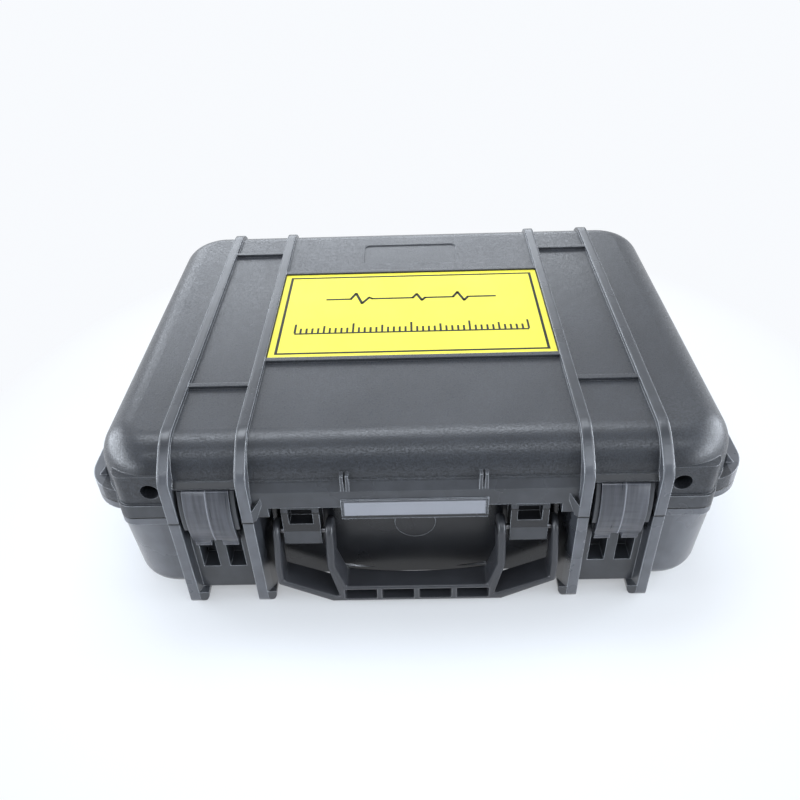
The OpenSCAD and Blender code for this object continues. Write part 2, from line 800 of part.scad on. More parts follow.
module seal_ring(from_z, to_z, w) {
    translate([0, seal_mid_y, from_z]) linear_extrude(to_z - from_z) difference() {
        round_rect(2 * seal_half_w + w, seal_d + w, seal_r + w / 2);
        round_rect(2 * seal_half_w - w, seal_d - w, seal_r - w / 2);
    }
}

module base_shell() {
    color(black) difference() {
        union() {
            difference() {
                union() {
                    translate([0, 0, parting_z])
                        hung_tray(body_w, body_d, corner_r, base_h, base_edge_r, base_lean);
                    rim_band(parting_z - base_rim_h, parting_z);
                    base_front_slab();
                }
                front_bays(-cut, parting_z + cut);
            }
            rear_fins();
            both_sides() for (x = [rib_inner_x, rib_outer_x]) translate([x, 0, 0]) foot_root();
            both_sides() translate([latch_x, 0, 0]) ladder();
            both_sides() translate([ear_x, 0, 0]) handle_ear();
            translate([0, inner_disc_y, foot_h + disc_h]) rotate([90, 0, 0])
                cylinder(r = disc_r, h = disc_proud + wall);
            both_sides() translate([latch_x, 0, 0]) for (s = [-1, 1])
                hinge_knuckle(s > 0 ? hinge_inner : -hinge_end, s > 0 ? hinge_end : -hinge_inner, false);
        }
        translate([0, cav_y, parting_z + cut])
            hung_tray(cav_w, cav_d, cav_r, cav_h + cut, base_edge_r - wall, base_lean);
        both_sides() translate([latch_x, 0, 0]) {
            hinge_notch(-hinge_mid_w / 2, hinge_mid_w / 2);
            hinge_bore(hold_fit);
            rod_x(latch_pin_r + hold_fit, -latch_bay_half, latch_bay_half, latch_pin_y, latch_pin_z);
        }
    }
}

// Side view of the lid with its rounded edges, grown outwards
module lid_side(grow) {
    cy = half_d - corner_r;
    for (s = [0, 1]) mirror([s, 0]) translate([cy, parting_z])
        wall_profile(corner_r + grow, lid_h + grow, lid_edge_r + grow, lid_lean);
    translate([-cy, parting_z]) square([2 * cy, lid_h + grow]);
}

module lid_ribs() {
    for (x = [-rib_outer_x, -rib_inner_x, rib_inner_x, rib_outer_x])
        along_x(x - rib_t / 2, x + rib_t / 2) difference() {
            lid_side(rib_h);
            translate([-body_d, 0]) square([2 * body_d, lid_foot]);
        }
}

fin_start_y = half_d - lid_edge_r * fin_start_share;

// Side view of a front fin, with a bend between its slope and its upright edge
module lid_fin_side() {
    slope_y = fin_front - fin_start_y;
    slope_z = fin_start_h - fin_full_h;
    turn = atan2(slope_y, slope_z);
    bend = fin_bend_r * tan(turn / 2);
    corner_z = parting_z + fin_full_h;
    polygon([
        [-half_d + lid_edge_r, lid_foot], [-fin_front, lid_foot], [-fin_front, corner_z - bend],
        [-fin_front + bend * sin(turn), corner_z + bend * cos(turn)],
        [-fin_start_y, parting_z + fin_start_h], [-half_d + lid_edge_r, parting_z + fin_start_h]
    ]);
    translate([-fin_front + fin_bend_r, corner_z - bend]) circle(fin_bend_r);
}

// Facet beside an inner fin, where the apron ends
module fin_facet() {
    intersection() {
        along_y(-fin_front, -half_d + wall) polygon([
            [handle_bay_half, parting_z + apron_step_h * facet_end_share],
            [handle_bay_half - facet_reach, parting_z + apron_step_h],
            [handle_bay_half - facet_reach * facet_low_share, lid_foot], [handle_bay_half, lid_foot]
        ]);
        translate([0, 0, lid_foot]) linear_extrude(lid_h) polygon([
            [handle_bay_half, -fin_front], [handle_bay_half - facet_reach, -half_d],
            [handle_bay_half - facet_reach, -half_d + wall], [handle_bay_half, -half_d + wall]
        ]);
    }
}
facet_low_share = 0.2;
facet_end_share = 0.45;

module lid_apron() {
    apron_half = handle_bay_half + cut;
    along_x(-apron_half, apron_half) polygon([
        [-half_d + wall, parting_z + apron_top_h], [-half_d, parting_z + apron_top_h],
        [-half_d - rim_end, parting_z + apron_step_h], [-half_d - rim_end, lid_foot],
        [-half_d + wall, lid_foot]
    ]);
    translate([-holder_w / 2, -half_d - rim_end - holder_proud, parting_z - holder_drop])
        cube([holder_w, rim_end + holder_proud + wall, holder_drop + strip_rise + strip_h + holder_brow]);
    for (side = [-1, 1], s = [-1, 1])
        translate([side * twin_x + s * (twin_w + twin_gap) / 2 - twin_w / 2, -half_d - rim_end,
            parting_z + apron_step_h]) cube([twin_w, rim_end + wall, twin_l]);
}

module corner_block() {
    block_w = block_end_x - rib_outer_x;
    difference() {
        translate([0, 0, lid_foot]) linear_extrude(block_h) intersection() {
            translate([rib_outer_x - block_w, -half_d]) square([2 * block_w, corner_r]);
            union() {
                translate([rib_outer_x - block_w, -half_d]) square([2 * block_w - block_r, corner_r]);
                translate([rib_outer_x, -half_d + block_r]) square([block_w, corner_r]);
                translate([block_end_x - block_r, -half_d + block_r]) circle(block_r);
            }
        }
        translate([rib_outer_x - block_w, -half_d - cut, 0]) cube([block_w, corner_r + 2 * cut, lid_top]);
    }
}

// Boss behind a padlock hole, inside the lid
module hole_boss() {
    translate([hole_x, -half_d + hole_depth + wall, parting_z + hole_h]) rotate([90, 0, 0])
        cylinder(r = hole_r + wall, h = hole_depth);
}

module catch_ledge() {
    along_x(-latch_bay_half - cut, latch_bay_half + cut) polygon([
        [-half_d + wall, catch_z], [-half_d - catch_out, catch_z],
        [-half_d - catch_out, catch_z + catch_h - catch_out], [-half_d, catch_z + catch_h],
        [-half_d + wall, catch_z + catch_h]
    ]);
}

module side_gussets() {
    for (y = [-gusset_y, gusset_y]) translate([0, y - gusset_t / 2, 0]) mirror([0, 1, 0])
        along_y(-gusset_t, 0) polygon([
            [half_w - wall, rim_top], [half_w + rim_side * gusset_share, rim_top],
            [half_w - wall, rim_top + gusset_h]
        ]);
}

gusset_share = 0.5;

module lid_cavity() {
    translate([0, 0, rim_top])
        tray(cav_w, body_d - 2 * wall, cav_r, lid_cav_h, lid_edge_r - wall, lid_lean);
    mouth(lid_foot - cut, rim_top + cut);
}

module lid_shell() {
    short_w = rib_outer_x - rib_inner_x;
    cross_y = [plate_y + plate_d / 2 + plate_gap, plate_y - plate_d / 2 - plate_gap - cross_t];
    color(black) difference() {
        union() {
            difference() {
                union() {
                    translate([0, 0, parting_z])
                        tray(body_w, body_d, corner_r, lid_h, lid_edge_r, lid_lean);
                    rim_band(lid_foot, rim_top);
                    both_sides() corner_block();
                    lid_ribs();
                    for (x = [-rib_outer_x, -rib_inner_x, rib_inner_x, rib_outer_x])
                        along_x(x - rib_t / 2, x + rib_t / 2) lid_fin_side();
                    lid_apron();
                    both_sides() fin_facet();
                    both_sides() translate([latch_x, 0, 0]) catch_ledge();
                    both_sides() side_gussets();
                }
                lid_cavity();
                translate([-body_w, -body_d, 0]) cube([2 * body_w, 2 * body_d, parting_z - holder_drop]);
                difference() {
                    translate([-body_w, -body_d, 0]) cube([2 * body_w, 2 * body_d, lid_foot]);
                    translate([-holder_w / 2, -body_d, 0]) cube([holder_w, body_d - bay_wall_y, lid_top]);
                }
            }
            intersection() {
                both_sides() hole_boss();
                translate([0, 0, parting_z]) tray(body_w, body_d, corner_r, lid_h, lid_edge_r, lid_lean);
            }
            for (s = [-1, 1], y = [cross_rear_y, -cross_front_y])
                translate([s * latch_x - short_w / 2, y - cross_t / 2, lid_top - wall / 2])
                    cube([short_w, cross_t, cross_h + wall / 2]);
            for (y = cross_y) translate([-rib_inner_x, y, lid_top - wall / 2])
                cube([2 * rib_inner_x, cross_t, cross_h + wall / 2]);
            both_sides() translate([latch_x, 0, 0]) hinge_knuckle(-hinge_mid_w / 2, hinge_mid_w / 2, true);
        }
        both_sides() translate([latch_x, -rear_reach, lid_foot - cut]) translate([-latch_bay_half, 0, 0])
            cube([2 * latch_bay_half, rear_reach - rim_bay_y, lid_rim_h + cut]);
        both_sides() translate([holder_w / 2, -rear_reach, lid_foot - cut])
            cube([apron_end_x - holder_w / 2, rear_reach - bay_wall_y + ear_back_gap, apron_cut_h + cut]);
        both_sides() translate([hole_x, -half_d + hole_depth, parting_z + hole_h]) rotate([90, 0, 0])
            cylinder(r = hole_r, h = hole_depth + rim_end + cut);
        translate([0, panel_y, lid_top - panel_sink]) linear_extrude(cross_h)
            round_rect(panel_w, panel_d, panel_r);
        translate([-strip_w / 2 - plate_gap / 2, -rear_reach, parting_z + strip_rise - plate_gap / 2])
            cube([strip_w + plate_gap, rear_reach - half_d - rim_end - holder_proud + strip_t / 2,
                strip_h + plate_gap]);
        seal_ring(lid_foot - cut, parting_z + seal_h, seal_w);
        both_sides() translate([latch_x, 0, 0]) {
            hinge_notch(hinge_inner, hinge_end + rib_t);
            hinge_notch(-hinge_end - rib_t, -hinge_inner);
            hinge_bore(run_fit);
        }
    }
}

module lid_seal() {
    color(rubber) seal_ring(parting_z, parting_z + seal_h, seal_w);
}

module name_strip() {
    color(label_grey)
        translate([-strip_w / 2, -half_d - rim_end - holder_proud - strip_t / 2, parting_z + strip_rise])
            cube([strip_w, strip_t, strip_h]);
}

module yellow_plate() {
    color(yellow) translate([0, plate_y, lid_top]) linear_extrude(plate_t)
        round_rect(plate_w, plate_d, plate_gap);
}

module hinge_pins() {
    color(steel) both_sides() translate([latch_x, 0, 0])
        rod_x(hinge_pin_r, -hinge_end, hinge_end, hinge_y, parting_z);
}

// Side view of a disc section between two heights
module bulge_side(r, from_z, to_z, back_y) {
    intersection() {
        translate([cover_axis_y, cover_mid_z]) circle(r, $fn = 128);
        translate([-half_d - cover_r, from_z]) square([back_y + half_d + cover_r, to_z - from_z]);
    }
}

module latch_lever() {
    foot_z = latch_pin_z + cover_foot_h;
    top_z = latch_pin_z + cover_top_h;
    difference() {
        union() {
            along_x(-cover_w / 2, cover_w / 2) difference() {
                bulge_side(cover_r, foot_z, top_z, -half_d);
                translate([cover_axis_y, cover_mid_z]) circle(cover_r - cover_t, $fn = 128);
            }
            along_x(-seam_w / 2, seam_w / 2) difference() {
                bulge_side(cover_r + seam_proud, foot_z, top_z, -half_d);
                translate([cover_axis_y, cover_mid_z]) circle(cover_r - cover_t / 2, $fn = 128);
            }
            for (s = [0, 1]) mirror([s, 0, 0]) {
                along_x(cheek_out - cheek_t, cheek_out)
                    bulge_side(cover_r - cover_t / 2, latch_pin_z, cheek_z, -half_d);
                rod_x(knuckle_r, window_in, window_out, latch_pin_y, latch_pin_z);
                along_x(window_in, window_out) difference() {
                    bulge_side(cover_r, latch_pin_z, foot_z + cut, -half_d);
                    translate([cover_axis_y, cover_mid_z]) circle(cover_r - cover_t, $fn = 128);
                }
                along_x(window_in, window_out)
                    translate([-half_d - tab_reach_share * cover_bulge, latch_pin_z - cover_t / 2])
                        square([latch_pin_in + tab_reach_share * cover_bulge, cover_t]);
            }
        }
        rod_x(latch_pin_r + run_fit, -cover_w, cover_w, latch_pin_y, latch_pin_z);
        rod_x(claw_pin_r + hold_fit, -cover_w, cover_w, claw_pin_y, claw_pin_z);
    }
}
tab_reach_share = 0.5;

module latch_claw() {
    top_z = latch_pin_z + cover_top_h - latch_gap;
    flange_r = cover_r - cover_t / 2;
    back_y = -half_d - latch_gap;
    difference() {
        union() {
            for (s = [0, 1]) mirror([s, 0, 0])
                along_x(claw_w / 2 - claw_t, claw_w / 2)
                    bulge_side(flange_r, claw_pin_z - claw_pin_r * 2.5, top_z, back_y);
            translate([-claw_w / 2, back_y - claw_plate_t, cheek_z + claw_plate_gap])
                cube([claw_w, claw_plate_t, claw_plate_h]);
        }
        rod_x(claw_pin_r + run_fit, -claw_w, claw_w, claw_pin_y, claw_pin_z);
    }
}

module latch_claw_pin() {
    rod_x(claw_pin_r, -claw_w / 2, claw_w / 2, claw_pin_y, claw_pin_z);
}

module latch_pins() {
    color(steel) both_sides() translate([latch_x, 0, 0])
        rod_x(latch_pin_r, -latch_bay_half + hinge_gap, latch_bay_half - hinge_gap,
            latch_pin_y, latch_pin_z);
}

// Half of the handle's front view, with its window left open
module handle_front_half() {
    grip_top = grip_z + grip_h;
    slant = (elbow_z - grip_z) / (arm_out_1 - grip_half_w);
    difference() {
        polygon([
            [-cut, grip_z], [grip_half_w, grip_z], [arm_out_1, elbow_z], [arm_out_1, pivot_z + eye_r],
            [arm_in_0, pivot_z + eye_r], [arm_in_0, bend_z],
            [arm_in_0 - arm_inner_w * bend_share, grip_top], [-cut, grip_top]
        ]);
        polygon([
            [arm_in_1, pivot_z + eye_r + cut], [arm_in_1, bend_z],
            [arm_in_1 - arm_inner_w * bend_share, grip_z + slant_t],
            [grip_half_w - slant_t * slant, grip_z + slant_t],
            [arm_out_0, elbow_z + slant_t / 2], [arm_out_0, pivot_z + eye_r + cut]
        ]);
    }
}
bend_share = 1.1;

// Side view of the handle, hanging from its eyes
module handle_side() {
    translate([pivot_y, pivot_z]) circle(eye_r);
    polygon([
        [pivot_y - eye_r, pivot_z], [grip_front, bend_z], [grip_front, grip_z],
        [grip_front + grip_d, grip_z], [grip_front + grip_d, grip_z + grip_h],
        [pivot_y + arm_back_share * eye_r, bend_z], [pivot_y + eye_r, pivot_z]
    ]);
}
arm_back_share = 0.3;

module handle() {
    pitch = (2 * grip_half_w - 2 * eye_r + pocket_web) / pockets;
    pocket_h = grip_h - 2 * pocket_wall;
    arch_r = (pow(grip_half_w - eye_r, 2) + pow(grip_arch, 2)) / (2 * grip_arch);
    color(soft_black) difference() {
        intersection() {
            along_y(grip_front - cut, -bay_wall_y) {
                handle_front_half();
                mirror([1, 0]) handle_front_half();
            }
            along_x(-arm_out_1, arm_out_1) handle_side();
        }
        for (i = [0:pockets - 1])
            translate([-grip_half_w + eye_r + i * pitch, grip_front - cut, grip_z + pocket_wall])
                cube([pitch - pocket_web, pocket_d + cut, pocket_h]);
        both_sides() rod_x(handle_pin_r + run_fit, arm_in_0 - cut, arm_out_1 + cut, pivot_y, pivot_z);
        translate([0, grip_front + grip_d - grip_arch + arch_r, -cut])
            cylinder(r = arch_r, h = grip_z + grip_h + 2 * cut, $fn = 160);
    }
}

module handle_pins() {
    color(steel) both_sides() rod_x(handle_pin_r, arm_in_0, arm_out_1, pivot_y, pivot_z);
}

// Rounded pocket in the foam, open at the top
module foam_pocket(x, y, w, d, r, from_z) {
    translate([x, y, from_z]) linear_extrude(parting_z - from_z) round_rect(w, d, r);
}

module base_foam() {
    f = foam_fit;
    lead_y0 = -inner_front + base_lean + pocket_margin;
    lead_y1 = inst_y - inst_d / 2 - pocket_margin;
    side_y1 = probe_y - wedge_l / 2 - pocket_margin;
    color(foam_grey) difference() {
        translate([0, cav_y, parting_z])
            hung_tray(cav_w - 2 * f, cav_d - 2 * f, cav_r - f, cav_h, base_edge_r - wall, base_lean);
        translate([-body_w, -body_d, foam_top]) cube([2 * body_w, 2 * body_d, body_w]);
        foam_pocket(inst_x, inst_y, inst_w + 2 * f, inst_d + 2 * f, pocket_r, bed_z);
        foam_pocket(inst_x, inst_y + inst_d / 2, socket_pitch + 4 * socket_flange_r,
            2 * (socket_l + socket_flange_t), pocket_r, socket_z - socket_flange_r - bumper_t);
        for (s = [-1, 1]) translate([inst_x + s * inst_w / 4, inst_y - inst_d / 2, bed_z])
            cylinder(r = notch_r, h = parting_z);
        foam_pocket(inst_x, (lead_y0 + lead_y1) / 2, inst_w, lead_y1 - lead_y0, pocket_r,
            foam_top - lead_depth);
        foam_pocket(side_x + side_w / 2, (lead_y0 + side_y1) / 2, side_w, side_y1 - lead_y0,
            pocket_r, foam_top - lead_depth);
        translate([probe_x, probe_y, probe_bed]) cylinder(r = probe_r + f, h = parting_z);
        foam_pocket(wedge_x, probe_y, wedge_w + 2 * f, wedge_l + 2 * f, f, probe_bed);
    }
}

module lid_foam() {
    f = foam_fit;
    h = lid_top - wall - lid_foam_z;
    foam_d = cav_d - 2 * f;
    pitch = foam_d / ridges;
    color(foam_grey) intersection() {
        translate([0, 0, rim_top]) tray(cav_w - 2 * f, body_d - 2 * wall - 2 * f, cav_r - f, lid_cav_h,
            lid_edge_r - wall, lid_lean);
        along_x(-half_w, half_w) union() {
            translate([cav_y - foam_d / 2, lid_foam_z + ridge_h]) square([foam_d, h]);
            for (i = [0:ridges - 1]) translate([cav_y - foam_d / 2 + i * pitch, lid_foam_z]) polygon([
                [0, ridge_h], [pitch * ridge_shares[0], 0], [pitch * ridge_shares[1], 0], [pitch, ridge_h],
                [pitch, ridge_h + cut], [0, ridge_h + cut]
            ]);
        }
    }
}
ridge_shares = [0.35, 0.65];

// Plan of the instrument's housing, moved in by a margin
module house_plan(inset) {
    translate([inst_x, inst_y]) round_rect(house_w - 2 * inset, house_d - 2 * inset, inst_r - inset);
}

module slab(from_z, to_z) {
    translate([0, 0, from_z]) linear_extrude(to_z - from_z) children();
}

post_shares = [0.44, 0.42];
function post_places() = [for (x = [-1, 1], y = [-1, 1])
    [inst_x + x * house_w * post_shares[0], inst_y + y * house_d * post_shares[1]]];

module at_posts() {
    for (p = post_places()) translate(concat(p, [0])) children();
}

module door_plan(grow) {
    translate([inst_x, inst_y]) square([battery_w + 2 * grow, battery_d + 2 * grow], center = true);
}

module socket_places() {
    for (s = [-1, 1]) translate([inst_x + s * socket_pitch / 2, inst_y + house_d / 2, socket_z])
        rotate([-90, 0, 0]) children();
}

module instrument_back() {
    color(housing_grey) difference() {
        union() {
            difference() {
                slab(inst_z, seam_z) house_plan(0);
                slab(inst_z + inst_wall, seam_z + cut) house_plan(inst_wall);
            }
            at_posts() translate([0, 0, inst_z]) cylinder(r = post_r, h = board_z - inst_z);
            slab(inst_z, inst_z + 2 * inst_wall) door_plan(door_land + inst_wall);
        }
        slab(inst_z - cut, inst_z + inst_wall) door_plan(door_land + glass_gap);
        slab(inst_z, inst_z + 2 * inst_wall + cut) door_plan(glass_gap);
        at_posts() translate([0, 0, board_z - screw_l]) cylinder(r = screw_r, h = screw_l + cut);
        at_posts() translate([0, 0, inst_z - cut]) cylinder(r = head_r + glass_gap, h = cut + inst_wall);
        at_posts() translate([0, 0, inst_z]) cylinder(r = screw_r, h = screw_l);
        socket_places() translate([0, 0, -inst_wall - cut])
            cylinder(r = socket_r + hold_fit, h = inst_wall + 2 * cut);
        for (s = [-1, 1]) translate([inst_x + s * (battery_w / 2 + door_land / 2), inst_y, inst_z - cut])
            cylinder(r = screw_r, h = 2 * inst_wall + cut);
    }
}

module instrument_seal() {
    color(rubber) slab(seam_z, seam_z + inst_seal_t) difference() {
        house_plan(inst_wall / 4);
        house_plan(inst_wall);
    }
}

function key_place(i) = [inst_x + keys_x + (i % 2 - 0.5) * key_pitch_x,
    inst_y + keys_y + (1 - floor(i / 2)) * key_pitch_y];

module screen_plan(grow) {
    translate([inst_x - screen_x, inst_y + screen_y])
        square([screen_w + 2 * grow, screen_d + 2 * grow], center = true);
}

module instrument_front() {
    color(housing_blue) difference() {
        slab(seam_z + inst_seal_t, inst_top) house_plan(0);
        slab(seam_z, inst_top - inst_wall) house_plan(inst_wall);
        slab(inst_z, inst_top + cut) screen_plan(0);
        slab(inst_top - glass_t, inst_top + cut) screen_plan(glass_land + glass_gap);
        for (i = [0:5]) slab(inst_z, inst_top + cut) translate(key_place(i))
            round_rect(key_w + 2 * key_gap, key_d + 2 * key_gap, key_r + key_gap);
        translate([knob_x, inst_y - knob_y, inst_z]) cylinder(r = 2 * shaft_r, h = inst_h + cut);
    }
}

module instrument_bumpers() {
    color(rubber) difference() {
        slab(bed_z, inst_top) translate([inst_x, inst_y])
            round_rect(inst_w, inst_d, inst_r + bumper_t);
        slab(inst_z, inst_top + cut) house_plan(0);
        slab(bed_z - cut, inst_z + cut) house_plan(bumper_t);
        translate([inst_x - inst_w / 2 + bumper_l, inst_y - inst_d, bed_z - cut])
            cube([inst_w - 2 * bumper_l, 2 * inst_d, inst_h * 2]);
    }
}

module screen_window() {
    color([0.55, 0.65, 0.7, 0.4]) slab(inst_top - glass_t, inst_top) screen_plan(glass_land);
}

module lcd_module() {
    color([0.1, 0.16, 0.2]) slab(board_z + board_t, inst_top - inst_wall) screen_plan(glass_land);
}

module board_plan() {
    translate([inst_x, inst_y]) square([house_w - 2 * board_margin - 2 * inst_wall,
        house_d - 2 * board_margin - 2 * inst_wall], center = true);
}

// Parts soldered under the board, given as shares of its half size
chip_shares = [[-0.7, 0.72, 0.16, 0.14], [-0.3, 0.75, 0.1, 0.1], [0.35, 0.74, 0.2, 0.12],
    [-0.62, -0.74, 0.12, 0.12], [0.1, -0.76, 0.24, 0.1], [0.7, -0.72, 0.12, 0.14]];

module main_board() {
    chip_h = 2 * board_t;
    color(board_green) difference() {
        union() {
            slab(board_z, board_z + board_t) board_plan();
            for (c = chip_shares) translate([inst_x + c[0] * house_w * post_shares[0],
                inst_y + c[1] * house_d * post_shares[1], board_z - chip_h / 2])
                    cube([c[2] * house_w / 2, c[3] * house_d / 2, chip_h], center = true);
        }
        at_posts() translate([0, 0, board_z - chip_h]) cylinder(r = screw_r, h = 2 * chip_h);
    }
}

module board_screws() {
    color(steel) at_posts() {
        translate([0, 0, board_z + board_t]) cylinder(r = head_r, h = head_h);
        translate([0, 0, board_z - screw_l + board_t]) cylinder(r = screw_r - hold_fit, h = screw_l);
    }
}

module battery_pack() {
    color([0.12, 0.12, 0.16]) slab(inst_z + inst_wall, inst_z + inst_wall + battery_t)
        door_plan(-glass_gap);
}

module battery_door() {
    color(housing_grey) difference() {
        slab(inst_z, inst_z + inst_wall) door_plan(door_land);
        for (s = [-1, 1]) translate([inst_x + s * (battery_w / 2 + door_land / 2), inst_y, inst_z - cut])
            cylinder(r = screw_r, h = inst_wall + 2 * cut);
    }
}

module battery_door_screws() {
    color(steel) for (s = [-1, 1]) translate([inst_x + s * (battery_w / 2 + door_land / 2), inst_y, 0]) {
        translate([0, 0, inst_z - bumper_foot / 2]) cylinder(r = door_land / 2, h = bumper_foot / 2);
        translate([0, 0, inst_z]) cylinder(r = screw_r - hold_fit, h = 2 * inst_wall);
    }
}

module housing_screws() {
    color(steel) at_posts() {
        translate([0, 0, inst_z]) cylinder(r = screw_r - hold_fit, h = screw_l);
        translate([0, 0, inst_z]) cylinder(r = head_r, h = head_h);
    }
}

module probe_sockets() {
    color(steel) socket_places() {
        difference() {
            union() {
                cylinder(r = socket_flange_r, h = socket_flange_t);
                translate([0, 0, -inst_wall - socket_flange_t])
                    cylinder(r = socket_r, h = socket_l + inst_wall + socket_flange_t);
            }
            translate([0, 0, socket_flange_t]) cylinder(r = socket_r - inst_wall / 2, h = socket_l);
        }
        translate([0, 0, socket_flange_t]) cylinder(r = socket_r / 4, h = socket_l / 2);
    }
}

module key_mat() {
    color([0.3, 0.31, 0.33]) translate([0, 0, board_z + board_t])
        linear_extrude(lcd_t - key_flange - key_travel - key_gap)
            translate([inst_x + keys_x, inst_y + keys_y])
                square([keys_w, keys_d + 2 * key_flange], center = true);
}

module key(i) {
    under_z = inst_top - inst_wall - key_gap / 4;
    translate(concat(key_place(i), [0])) {
        slab(under_z - key_flange, inst_top + key_proud) round_rect(key_w, key_d, key_r);
        slab(under_z - key_flange, under_z)
            round_rect(key_w + 2 * key_flange, key_d + 2 * key_flange, key_r);
    }
}

module key_power() { color([0.75, 0.16, 0.12]) key(0); }
module key_menu() { color(label_grey) key(1); }
module key_gain() { color(label_grey) key(2); }
module key_range() { color(label_grey) key(3); }
module key_gate() { color(label_grey) key(4); }
module key_freeze() { color(label_grey) key(5); }

encoder_shares = [4, 1.4];

module knob_encoder() {
    color(steel) translate([knob_x, inst_y - knob_y, board_z + board_t]) difference() {
        union() {
            translate([-encoder_shares[0] * shaft_r / 2, -encoder_shares[0] * shaft_r / 2, 0])
                cube([encoder_shares[0] * shaft_r, encoder_shares[0] * shaft_r, lcd_t]);
            cylinder(r = encoder_shares[1] * shaft_r, h = lcd_t + inst_wall);
        }
        translate([0, 0, board_t]) cylinder(r = shaft_r + run_fit, h = 2 * lcd_t);
    }
}

module knob_shaft() {
    color(steel) translate([knob_x, inst_y - knob_y, board_z + 2 * board_t + hold_fit])
        cylinder(r = shaft_r, h = knob_z + knob_h * shaft_top_share - board_z - 2 * board_t - hold_fit);
}
shaft_top_share = 0.7;

module rotary_knob() {
    color(rubber) translate([knob_x, inst_y - knob_y, knob_z]) difference() {
        cylinder(r1 = knob_r, r2 = knob_r - flute_r, h = knob_h);
        for (i = [0:flutes - 1]) rotate(i * 360 / flutes) translate([knob_r, 0, flute_r])
            cylinder(r = flute_r, h = knob_h);
        translate([0, 0, -cut]) cylinder(r = shaft_r + hold_fit, h = knob_h * shaft_top_share + cut);
    }
}

module straight_probe_face() {
    color([0.55, 0.42, 0.3]) translate([probe_x, probe_y, probe_bed])
        cylinder(r = probe_r - face_inset, h = face_t);
}

module straight_probe_body() {
    color(steel) translate([probe_x, probe_y, probe_bed]) difference() {
        cylinder(r = probe_r, h = probe_h);
        translate([0, 0, -cut]) cylinder(r = probe_r - face_inset + hold_fit, h = face_t + cut);
    }
}

module small_socket() {
    difference() {
        cylinder(r = plug_r, h = plug_l);
        translate([0, 0, face_t]) cylinder(r = plug_r - face_inset, h = plug_l);
    }
}

module straight_probe_socket() {
    color(yellow) translate([probe_x, probe_y, probe_bed + probe_h]) small_socket();
}

wedge_low_h = wedge_h - (wedge_l - anglecase_h) * tan(wedge_angle) / 2;

// Side view of the wedge, with its slope towards -Y
module wedge_side() {
    polygon([
        [-wedge_l / 2, 0], [wedge_l / 2, 0], [wedge_l / 2, wedge_h],
        [wedge_l / 2 - anglecase_h / 2, wedge_h], [-wedge_l / 2, wedge_h - slope_run * tan(wedge_angle)]
    ]);
}
slope_run = wedge_l - anglecase_h / 2;

module angle_probe_wedge() {
    color([0.75, 0.55, 0.35]) translate([wedge_x, probe_y, probe_bed])
        along_x(-wedge_w / 2, wedge_w / 2) intersection() {
            wedge_side();
            translate([-wedge_l, 0]) square([2 * wedge_l, wedge_h]);
        }
}

// The case and the socket stand square on the wedge's slope
module on_slope() {
    translate([wedge_x, probe_y + wedge_l / 2 - anglecase_h / 2, probe_bed + wedge_h])
        rotate([wedge_angle, 0, 0]) children();
}

slope_seat = anglecase_h * 1.2;

module angle_probe_body() {
    color(soft_black) on_slope() translate([-wedge_w / 2, -slope_seat - face_inset, 0])
        cube([wedge_w, slope_seat, anglecase_h / 2]);
}

module angle_probe_socket() {
    color(yellow) on_slope() translate([0, -slope_seat / 2 - face_inset, anglecase_h / 2]) small_socket();
}

module at_latch(side) {
    translate([side * latch_x, 0, 0]) children();
}

base_shell();
lid_shell();
lid_seal();
name_strip();
yellow_plate();
hinge_pins();
color(soft_black) at_latch(-1) latch_lever();  // latch_lever_left
color(soft_black) at_latch(1) latch_lever();  // latch_lever_right
color(black) at_latch(-1) latch_claw();  // latch_claw_left
color(black) at_latch(1) latch_claw();  // latch_claw_right
latch_pins();
color(steel) at_latch(-1) latch_claw_pin();  // latch_claw_pin_left
color(steel) at_latch(1) latch_claw_pin();  // latch_claw_pin_right
handle();
handle_pins();
base_foam();
lid_foam();
instrument_back();
instrument_front();
instrument_seal();
instrument_bumpers();
screen_window();
lcd_module();
main_board();
board_screws();
battery_pack();
battery_door();
battery_door_screws();
housing_screws();
probe_sockets();
key_mat();
key_power();
key_menu();
key_gain();
key_range();
key_gate();
key_freeze();
knob_encoder();
knob_shaft();
rotary_knob();
straight_probe_body();
straight_probe_face();
straight_probe_socket();
angle_probe_wedge();
angle_probe_body();
angle_probe_socket();
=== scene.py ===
import math

import bmesh
import bpy
from mathutils import Matrix, Vector


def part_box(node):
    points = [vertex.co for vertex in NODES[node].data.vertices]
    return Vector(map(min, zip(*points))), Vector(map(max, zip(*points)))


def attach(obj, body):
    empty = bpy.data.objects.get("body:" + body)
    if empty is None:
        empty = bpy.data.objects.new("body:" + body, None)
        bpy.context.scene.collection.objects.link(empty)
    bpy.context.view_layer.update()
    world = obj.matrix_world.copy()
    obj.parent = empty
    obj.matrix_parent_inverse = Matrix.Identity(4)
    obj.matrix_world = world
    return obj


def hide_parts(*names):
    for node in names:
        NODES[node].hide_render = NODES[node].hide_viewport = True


bl_info = {
    "name": "Cased flaw detector",
    "version": (1, 0, 0),
    "blender": (4, 5, 0),
    "location": "View3D > Sidebar > Case",
    "description": "Dresses the rugged case, its latches and the instrument kit inside it",
    "category": "Object",
}

